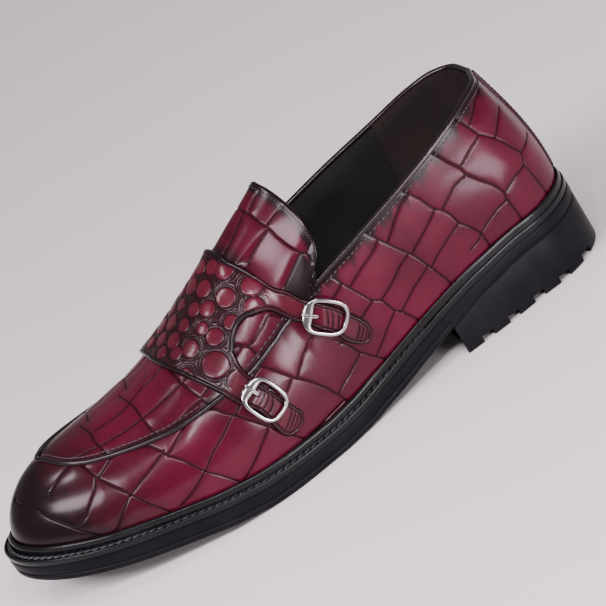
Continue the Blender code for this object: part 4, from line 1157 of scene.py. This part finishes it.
def tongue_sheets():
    """Face, rounded edge and back in one: along u up the face, over the edge as a half
    circle, and down the back. Two more sheets close the sides. Black paint runs in along the
    rim as far as a number plus a sine of e, the outer corner below the last groove is dark,
    and painted shade darkens the face towards the strap, whose edge lies over it."""
    e = np.linspace(-1, 1, 205)[:, None]
    u = np.linspace(START_U, 1, 125)[None]
    points = tongue_skin(e, u)
    normal = tongue_normal(e, u)
    rim = np.concatenate([tongue_skin(-1, np.linspace(-0.2, 1, 30)), tongue_skin(e[:, 0], 1.0),
                          tongue_skin(1, np.linspace(1, -0.2, 30))])
    edge_gap = nearest(points, [rim], 12.0)[0]
    lines = [np.concatenate([tongue_skin(*np.linspace(a, b, 24).T)
                             for a, b in zip(groove, groove[1:])])
             for groove in map(np.array, TONGUE_GROOVES)]
    points, rise, gap = embossing(points, lines, 0.22, np.clip(edge_gap - 0.5, 0, 1))
    face = points + normal * rise * np.clip(edge_gap / 2.5, 0, 1)[..., None]
    half = TONGUE_THICK / 2
    angle = np.linspace(0, np.pi, 9)[1:-1]
    out_of = tongue_skin(e[:, 0], 1.0) - tongue_skin(e[:, 0], 0.95)
    out_of /= np.linalg.norm(out_of, axis=-1, keepdims=True)
    top = tongue_skin(e[:, 0], 1.0)[:, None] - normal[:, -1:] * half
    bend = top + half * (normal[:, -1:] * np.cos(angle)[:, None]
                         + out_of[:, None] * np.sin(angle)[:, None])
    back = (tongue_skin(e, u) - normal * TONGUE_THICK)[:, ::-1]
    grid = np.concatenate([face, bend, back], 1)
    paint = np.clip((3.8 + 0.6 * np.sin(150 * e) - edge_gap) / 0.7, 0, 1)
    corner = np.clip((e - 0.75) / 0.02, 0, 1) * np.clip((0.60 - u) / 0.04, 0, 1)
    # Painted shade along the strap's rear edge, where the strap lies over the tongue
    strap_shade = fade(u + 0.15 + 0.3 * e, 0.25) * fade(np.abs(e - 0.2), 0.5)
    dark = np.maximum.reduce([paint, 0.45 * fade(edge_gap - 2, 5.0), 0.9 * corner, 0.8 * strap_shade])
    grooves = np.where(paint > 0.5, 1.0, np.minimum(gap / GROOVE_REACH, 1.04 - corner))
    hidden = np.ones((len(e), len(angle) + back.shape[1]))
    sides = [sheet(np.stack([face[column], back[column][::-1]]), flip=column < 0,
                   groove=1.0, burnish=1.0) for column in (0, -1)]
    return [sheet(grid, groove=np.concatenate([grooves, hidden], 1),
                  burnish=np.concatenate([dark, hidden], 1))] + sides


make_piece("tongue_tab", tongue_sheets(), BURGUNDY_CROC, ("tongue",))
stitch_e = np.linspace(-0.86, 0.86, 58)
stitch_out = tongue_normal(stitch_e, 0.945)
make_piece("tongue_stitches", threads(tongue_skin(stitch_e, 0.945) + 0.1 * stitch_out, stitch_out,
                                      1.3, 0.22, 0.2), DARK_THREAD)

# ---- back strip ----------------------------------------------------------------------------------
# A narrow strip of plain burgundy leather glued over the seam down the back of the heel. Its
# long edges are skived thin, and a row of stitches holds each of them.
STRIP_HALF = 0.030
STRIP_FOOT = 0.11
STRIP_TOP = 0.985


def strip_sheet():
    """The strip: a lift over the upper that falls to it at both long edges as a quarter
    circle."""
    k = np.linspace(-1, 1, 33)[:, None]
    t = np.linspace(STRIP_FOOT, STRIP_TOP, 150)[None]
    turn = STRIP_HALF * k + 0 * t
    edge_gap = np.minimum((1 - np.abs(k)) * 4.5, np.minimum(t - STRIP_FOOT, STRIP_TOP - t) * 75)
    lift = 0.9 * end_round(edge_gap / 0.9) - 0.1
    return sheet(skin_over(turn, t, lift), flip=True, groove=1.0,
                 burnish=fade(edge_gap, 2.0) * 0.75)


make_piece("heel_strip", [strip_sheet()], BURGUNDY_CROC, ("back_strip",))
strip_t = np.linspace(STRIP_FOOT + 0.02, STRIP_TOP - 0.02, 28)
strip_stitches = [stitch for k in (-0.66, 0.66) for stitch in
                  threads(skin_over(STRIP_HALF * k, strip_t, 0.85),
                          skin_normal(np.full(28, STRIP_HALF * k), strip_t), 2.0, 0.28, 0.22)]
make_piece("strip_stitches", strip_stitches, DARK_THREAD)

# ---- saddle strap --------------------------------------------------------------------------------
# A band of hornback leather over the instep, embossed with round scales in double rings. It
# forks on the outer side into two narrow straps, which run through the buckles to plain tips.
# Its edges are rolled and burnished black.
BAND_ROWS = (
    (170, -0.90, 203, -0.90), (168.5, -0.80, 203, -0.80), (167, -0.70, 203, -0.70),
    (165, -0.60, 203.7, -0.61), (163, -0.49, 205, -0.51), (160.8, -0.38, 206.5, -0.40),
    (158.8, -0.28, 208.3, -0.30), (157.3, -0.19, 210, -0.20), (156.2, -0.09, 211, -0.10),
    (155.5, 0.0, 211.5, 0.0), (154, 0.12, 208.5, 0.12), (152, 0.225, 203.5, 0.25),
    (149.7, 0.262, 198, 0.37),
)
FORK_ROW = (
    (147.5, 0.263), (150.2, 0.36), (153.3, 0.435), (156.5, 0.487), (160.5, 0.463), (165, 0.455),
    (169, 0.453), (173.5, 0.475), (178.3, 0.495), (183.8, 0.522), (189, 0.55),
)
REAR_STRAP_ROWS = (
    (144.5, 0.23, 151, 0.507), (141, 0.175, 147, 0.497), (137, 0.10, 143.3, 0.49),
    (133.3, 0.115, 139.4, 0.47), (128.2, 0.233, 134.5, 0.468), (123.3, 0.35, 130.5, 0.525),
    (119.5, 0.457, 128, 0.605), (116.3, 0.548, 124.5, 0.67), (114.5, 0.63, 120.5, 0.715),
    (115, 0.69, 118, 0.722),
)
FRONT_STRAP_ROWS = (
    (174.3, 0.54, 186.8, 0.598), (172.8, 0.61, 184.5, 0.64), (171.4, 0.655, 181.7, 0.683),
    (169.7, 0.698, 179.2, 0.72), (167.4, 0.748, 177.2, 0.773), (165, 0.80, 175.7, 0.83),
    (162.7, 0.84, 174.2, 0.872), (160.8, 0.877, 170.5, 0.905), (162.2, 0.902, 167, 0.915),
)
BAND_LIFT = 1.2
REAR_LIFTS = (1.2, 1.2, 0.8, 0.8, 2.5, 1.5, 0.9, 0.6, 0.5, 0.5)
FRONT_LIFTS = (1.2, 1.0, 1.2, 2.5, 1.5, 0.9, 0.6, 0.5, 0.5)
STRAP_THICK = 1.6
STRAP_SINK = 0.15       # how much lower than its lift the leather lies
EDGE_GROOVE = 1.95      # from the rim to the groove inside the rolled edge
EDGE_FOOT = 0.05        # height of the edges' lower line over the upper
STRAP_CELLS = 170       # across the band; three tenths of them across each narrow strap
# Scales of the outer side: s, share of the way down, radius
SCALES = (
    (162.7, .320, 4.9), (150.7, .380, 4.9), (154.6, .465, 4.8), (142, .295, 4.6),
    (166.9, .415, 3.9), (177.2, .353, 4.3), (183.9, .440, 6.3), (156.2, .228, 4.6),
    (172.7, .230, 4.2), (168.5, .147, 4.6), (177.8, .147, 3.8), (179.8, .265, 3.3),
    (189.7, .272, 4.6), (194.6, .132, 4.4), (186.2, .140, 3.7), (179.1, .568, 4.6),
    (196.8, .208, 3.6), (159.5, .135, 3.9), (199, .345, 4.2), (203, .10, 3.6),
)
FOLD_PLACES = (0.47, 0.53, 0.60, 0.84, 0.88, 0.92)      # shares of a narrow strap's run
STRAP_RED = (0.085, 0.0035, 0.0150)
STRAP_DEEP = (0.034, 0.0018, 0.0060)


def between(rows, count):
    """Rows of a table spread evenly from the strap's rear edge to its front edge."""
    rows = np.array(rows, float)
    share = np.linspace(0, 1, count)[None, :, None]
    return rows[:, None, :2] * (1 - share) + rows[:, None, 2:] * share


def strap_run(rows, values, steps):
    """Rows of places and one value per row, made steps rows along a smooth curve: all are
    read at even shares of the rows' mean run."""
    stretch = np.hypot(np.diff(rows[..., 0], axis=0), 95 * np.diff(rows[..., 1], axis=0)).mean(1)
    run = np.append(0, np.cumsum(stretch))
    fine = np.linspace(0, run[-1], steps)
    curves = [[smooth(run, rows[:, k, c], fine) for c in (0, 1)] for k in range(rows.shape[1])]
    return np.moveaxis(np.array(curves), 2, 0), smooth(run, values, fine)


def turn_and_t(places):
    """The upper's turn and t from places (s, g): g is the share down from the ridge, and
    negative on the inner side."""
    turn = turn_at(places[..., 0])
    return np.where(places[..., 1] >= 0, turn, 2 - turn), 1 - np.abs(places[..., 1])


def over_upper(places, lift):
    """Points over the upper from places (s, g)."""
    return skin_over(*turn_and_t(places), lift)


def upper_out(places):
    """Unit normals of the upper at places (s, g)."""
    return skin_normal(*turn_and_t(places))


def scale_rows():
    """All the scales: the outer side's, and staggered rows of them over the ridge and down
    the inner side, whose size swings with a sine."""
    scales = list(SCALES)
    for row, g in enumerate(np.arange(0.02, -0.88, -0.105)):
        for k in range(5):
            s = 163 + 9.2 * k + (4.6 if row % 2 else 0) - 4 * abs(g)
            scales.append((s, g, 4.1 + 0.6 * math.sin(2.3 * k + 1.7 * row)))
    return np.array(scales)


def scaled(points):
    """Height and groove distance of the scales. A scale is a disc, hardly crowned; a fine
    groove runs along its edge and a fainter one a millimetre outside; where two scales are
    equally far, a crease parts them."""
    scales = scale_rows()
    centres = over_upper(scales[:, :2], 0.0)
    gaps = np.stack([np.linalg.norm(points - centre, axis=-1) - radius
                     for centre, radius in zip(centres, scales[:, 2])])
    gaps.sort(axis=0)
    first, second = gaps[0], gaps[1]
    disc = 0.20 * np.clip(-first / 2.4, 0, 1) ** 0.6
    ring = np.exp(-(first / 0.30) ** 2)
    outer = np.exp(-((first - 1.0) / 0.24) ** 2) * np.clip((second - first - 0.2) / 0.6, 0, 1)
    crease = np.exp(-((second - first) / 0.32) ** 2) * np.clip((first - 0.25) / 0.4, 0, 1)
    height = disc - 0.36 * ring - 0.24 * outer - 0.14 * crease
    close = np.minimum(np.abs(first), np.minimum(np.abs(first - 1.0), second - first) + 0.12)
    return height, close, first


def strap_sheets():
    """Band and both narrow straps, edge to edge. The lift over the upper falls at the rim as a
    quarter circle, a roll stands just inside it and a groove inside the roll, both bell
    curves. Bowed folds cross the narrow straps inside the rings and at the tips. One more
    sheet for each rim is the cut edge under it, straight down to the upper."""
    fork = np.array(FORK_ROW, float)
    across = np.linspace(0, 1, STRAP_CELLS + 1)
    even = np.linspace(0, 1, len(fork))
    fork_row = np.stack([smooth(even, fork[:, c], across) for c in (0, 1)], -1)
    side = STRAP_CELLS * 3 // 10
    band_rows = np.concatenate([between(BAND_ROWS, STRAP_CELLS + 1), fork_row[None]])
    band, band_lift = strap_run(band_rows, np.full(len(band_rows), BAND_LIFT), 400)
    rear_rows = np.concatenate([fork_row[None, :side + 1], between(REAR_STRAP_ROWS, side + 1)])
    rear, rear_lift = strap_run(rear_rows, np.array((BAND_LIFT, *REAR_LIFTS)), 150)
    front_rows = np.concatenate([fork_row[None, -side - 1:], between(FRONT_STRAP_ROWS, side + 1)])
    front, front_lift = strap_run(front_rows, np.array((BAND_LIFT, *FRONT_LIFTS)), 130)
    rims = [(band[:, 0], band_lift), (band[:, -1], band_lift), (band[0], band_lift[:1]),
            (band[-1, side:-side], band_lift[-1:])]
    for strap, lift in ((rear, rear_lift), (front, front_lift)):
        rims += [(strap[:, 0], lift), (strap[:, -1], lift), (strap[-1], lift[-1:])]
    rim_lines = [over_upper(rim, 0.0) for rim, _ in rims]
    sheets = []
    for places, lift, narrow in ((band, band_lift, False), (rear, rear_lift, True),
                                 (front, front_lift, True)):
        base = over_upper(places, 0.0)
        out = upper_out(places)
        rim_gap = nearest(base, rim_lines, 8.0)[0]
        height, close, ring_gap = scaled(base)
        run = np.linspace(0, 1, len(places))[:, None]
        embossed_to = np.clip(1.1 - 9 * run, 0, 1) if narrow else 1.0
        inside = np.clip((rim_gap - EDGE_GROOVE + 0.05) / 0.6, 0, 1) * embossed_to
        top = lift[:, None] - STRAP_SINK + STRAP_THICK * end_round(rim_gap)
        top += 0.22 * np.exp(-((rim_gap - 1.1) / 0.5) ** 2)
        top += height * inside - 0.24 * np.exp(-((rim_gap - EDGE_GROOVE) / 0.3) ** 2)
        # The groove mask darkens the colour in the scales' rings and in the groove inside the roll,
        # as painted shade
        groove = np.minimum(np.where(inside > 0.3, close, GROOVE_REACH),
                            np.abs(rim_gap - EDGE_GROOVE))
        if narrow:
            bow = 0.02 * np.linspace(-1, 1, places.shape[1])[None] ** 2
            folds = np.abs(run[..., None] + bow[..., None] - FOLD_PLACES) * 46
            clear = np.clip(rim_gap[..., None] / 2 - 0.5, 0, 1)
            top -= 0.30 * (np.exp(-(folds / 0.4) ** 2) * clear).sum(-1)
            # The folds join the groove mask, so their creases are darkened as painted shade
            groove = np.minimum(groove, folds.min(-1) + np.clip(2.6 - rim_gap, 0, GROOVE_REACH))
        edged = 0.85 * fade(rim_gap - 0.3, 1.9) if narrow else fade(rim_gap - 0.9, 2.8)
        dark = np.maximum(edged, 0.66 * np.clip(ring_gap + 0.5, 0, 1) * inside)
        sheets.append(sheet(base + out * top[..., None], flip=True, burnish=np.clip(dark, 0, 1),
                            groove=np.clip(groove / GROOVE_REACH, 0, 1)))
    down = np.linspace(1, 0, 5)[:, None, None]
    for (rim, lift), line in zip(rims, rim_lines):
        top = np.broadcast_to(lift, len(rim))[None, :, None] - STRAP_SINK
        heights = EDGE_FOOT + (top - EDGE_FOOT) * down
        sheets.append(sheet(line[None] + upper_out(rim)[None] * heights, groove=1.0, burnish=1.0))
    return sheets


HORNBACK = croc_material("hornback", STRAP_RED, STRAP_DEEP, 0.27, 0.10, 0.50, 0.08, lip=0.0)
make_piece("instep_strap", strap_sheets(), HORNBACK, ("saddle_strap",), crease=80)

# ---- buckles -------------------------------------------------------------------------------------
# Two polished nickel buckles: a rounded ring, wide and flat on the instep side, a pin under
# the strap that carries it, and a short folded prong.
# Middle of the ring and a place on its long axis nearer the strap's tip, as (s, g)
BUCKLES = (
    ("rear", (130.5, 0.357), (123.4, 0.463)),
    ("front", (173.6, 0.71), (170.0, 0.80)),
)
RING_HALF = (9.7, 7.4)
RING_SQUARE = 3.0
RING_BAR = 0.95
RING_WIDE = 2.3
RING_LIFT = 4.3
PIN_RADIUS = 0.6
PIN_LIFT = 1.1
# Prong: along the ring, half width, underside, height
PRONG_NAMES = ("x", "half", "under", "high")
PRONG_ROWS = (
    (-11.4, 0.5, 5.3, 0.5),
    (-10.8, 0.8, 5.4, 0.9),
    (-7.6, 0.9, 5.4, 1.0),
    (-5.4, 0.9, 4.9, 1.0),
    (-3.4, 0.6, 4.5, 0.6),
)


def nickel_material():
    """Polished nickel: a metal whose roughness is broken up by fine, long scratches."""
    material, tree, shader = new_material("polished_nickel")
    shader.inputs["Metallic"].default_value = 1.0
    place_on = placed_pattern(tree)
    stretched = wire(tree, "Mapping", place_on, None, None, (1.0, 6.0, 6.0)).outputs[0]
    scratches = wire(tree, "TexNoise", stretched, None, 700.0, 3.0, 0.6).outputs[0]
    clouds = wire(tree, "TexNoise", place_on, None, 90.0, 2.0, 0.5).outputs[0]
    colour = ramp(tree, clouds, ((0.3, (0.33, 0.32, 0.32)), (0.7, (0.46, 0.45, 0.44))))
    rough = math_node(tree, "ADD", math_node(tree, "MULTIPLY", scratches, 0.14), 0.07)
    finish(tree, shader, {"Colour": colour, "Roughness": rough, "Height": scratches}, 0.05, 0.0002)
    return material


def buckle_bed(middle, toward_tip):
    """A function that gives places over a buckle's bed: x along the strap, y across it and a
    lift over the quadratic that fits the upper best within 13 mm of the middle."""
    spots = np.array([middle, toward_tip])
    centre, ahead = over_upper(spots, 0.0)
    turn = float(turn_at(middle[0]))
    normal = skin_normal(np.array(turn), np.array(1 - middle[1]))
    long_axis = ahead - centre
    long_axis = long_axis - normal * long_axis.dot(normal)
    long_axis /= np.linalg.norm(long_axis)
    axes = np.stack([long_axis, np.cross(normal, long_axis), normal])
    turns, t = np.meshgrid(turn + np.linspace(-0.05, 0.05, 21),
                           np.clip(1 - middle[1] + np.linspace(-0.22, 0.22, 21), 0, 1))
    x, y, h = ((skin(turns, t) - centre) @ axes.T).reshape(-1, 3).T
    near = np.hypot(x, y) < 13
    x, y, h = x[near], y[near], h[near]
    fit = np.linalg.lstsq(np.column_stack([x * x, x * y, y * y, x, y]), h, rcond=None)[0]

    def lifted(x, y, lift):
        """The point x along, y across and lift over the fitted bed."""
        bed = fit[0] * x * x + fit[1] * x * y + fit[2] * y * y + fit[3] * x + fit[4] * y
        return centre + np.stack([x, y, bed + lift], -1) @ axes

    return lifted


def power(value, exponent):
    """A power of the value's size, with the value's sign: the shape of a superellipse."""
    return np.sign(value) * np.abs(value) ** exponent


def ring_sheet(lifted):
    """The ring: a superellipse, with a superellipse of its own round each point. It widens
    inwards on the instep side, where its top is flat."""
    a = np.linspace(0, 2 * np.pi, 120, endpoint=False)[:, None]
    b = np.linspace(0, 2 * np.pi, 20, endpoint=False)[None]
    x = RING_HALF[0] * power(np.cos(a), 2 / RING_SQUARE)
    y = RING_HALF[1] * power(np.sin(a), 2 / RING_SQUARE)
    wide = RING_BAR + (RING_WIDE - RING_BAR) * np.clip(-np.cos(a) * 1.6 - 0.6, 0, 1)
    inner = 1 - (wide - RING_BAR) / RING_HALF[0]
    out_x, out_y = np.cos(a) * RING_HALF[1], np.sin(a) * RING_HALF[0]
    size = np.hypot(out_x, out_y)
    over, up_by = power(np.cos(b), 0.7), power(np.sin(b), 0.7)
    return sheet(lifted(x * inner + out_x / size * wide * over, y + out_y / size * RING_BAR * over,
                        RING_LIFT + RING_BAR * up_by), wrap_u=True, wrap_v=True, flip=True)


def pin_sheet(lifted):
    """The pin: a round bar across the ring, dipping under the strap."""
    y = np.linspace(-1, 1, 41)[:, None] * RING_HALF[1]
    dip = fade(np.maximum(np.abs(y) - 5.6, 0), 1.6)
    b = np.linspace(0, 2 * np.pi, 12, endpoint=False)[None]
    high = RING_LIFT + (PIN_LIFT - RING_LIFT) * dip + PIN_RADIUS * np.sin(b)
    return sheet(lifted(PIN_RADIUS * np.cos(b) + 0 * y, y + 0 * b, high), wrap_v=True)


def prong_sheet(lifted):
    """The prong: a folded strip with a groove along its middle, resting on the ring."""
    prong = columns(PRONG_NAMES, PRONG_ROWS)
    x = np.linspace(prong["x"][0], prong["x"][-1], 34)[:, None]
    half, under, high = (smooth(prong["x"], prong[name], x) for name in PRONG_NAMES[1:])
    ends = end_round(np.minimum(x - x[0], x[-1] - x) / 0.8)
    b = np.linspace(0, 2 * np.pi, 24, endpoint=False)[None]
    over, up_by = power(np.cos(b), 0.6), power(np.sin(b), 0.6)
    dent = 0.35 * np.exp(-(over / 0.28) ** 2) * (up_by > 0)
    z = under + high * (0.5 + (0.5 * up_by - dent) * ends)
    return sheet(lifted(x + 0 * b, half * over * ends, z), wrap_v=True)


POLISHED_NICKEL = nickel_material()
for name, middle, toward_tip in BUCKLES:
    bed = buckle_bed(middle, toward_tip)
    make_piece("ring_" + name, [ring_sheet(bed), pin_sheet(bed)], POLISHED_NICKEL,
               ("buckle_" + name,))
    make_piece("tooth_" + name, [prong_sheet(bed)], POLISHED_NICKEL, ("prong_" + name,))
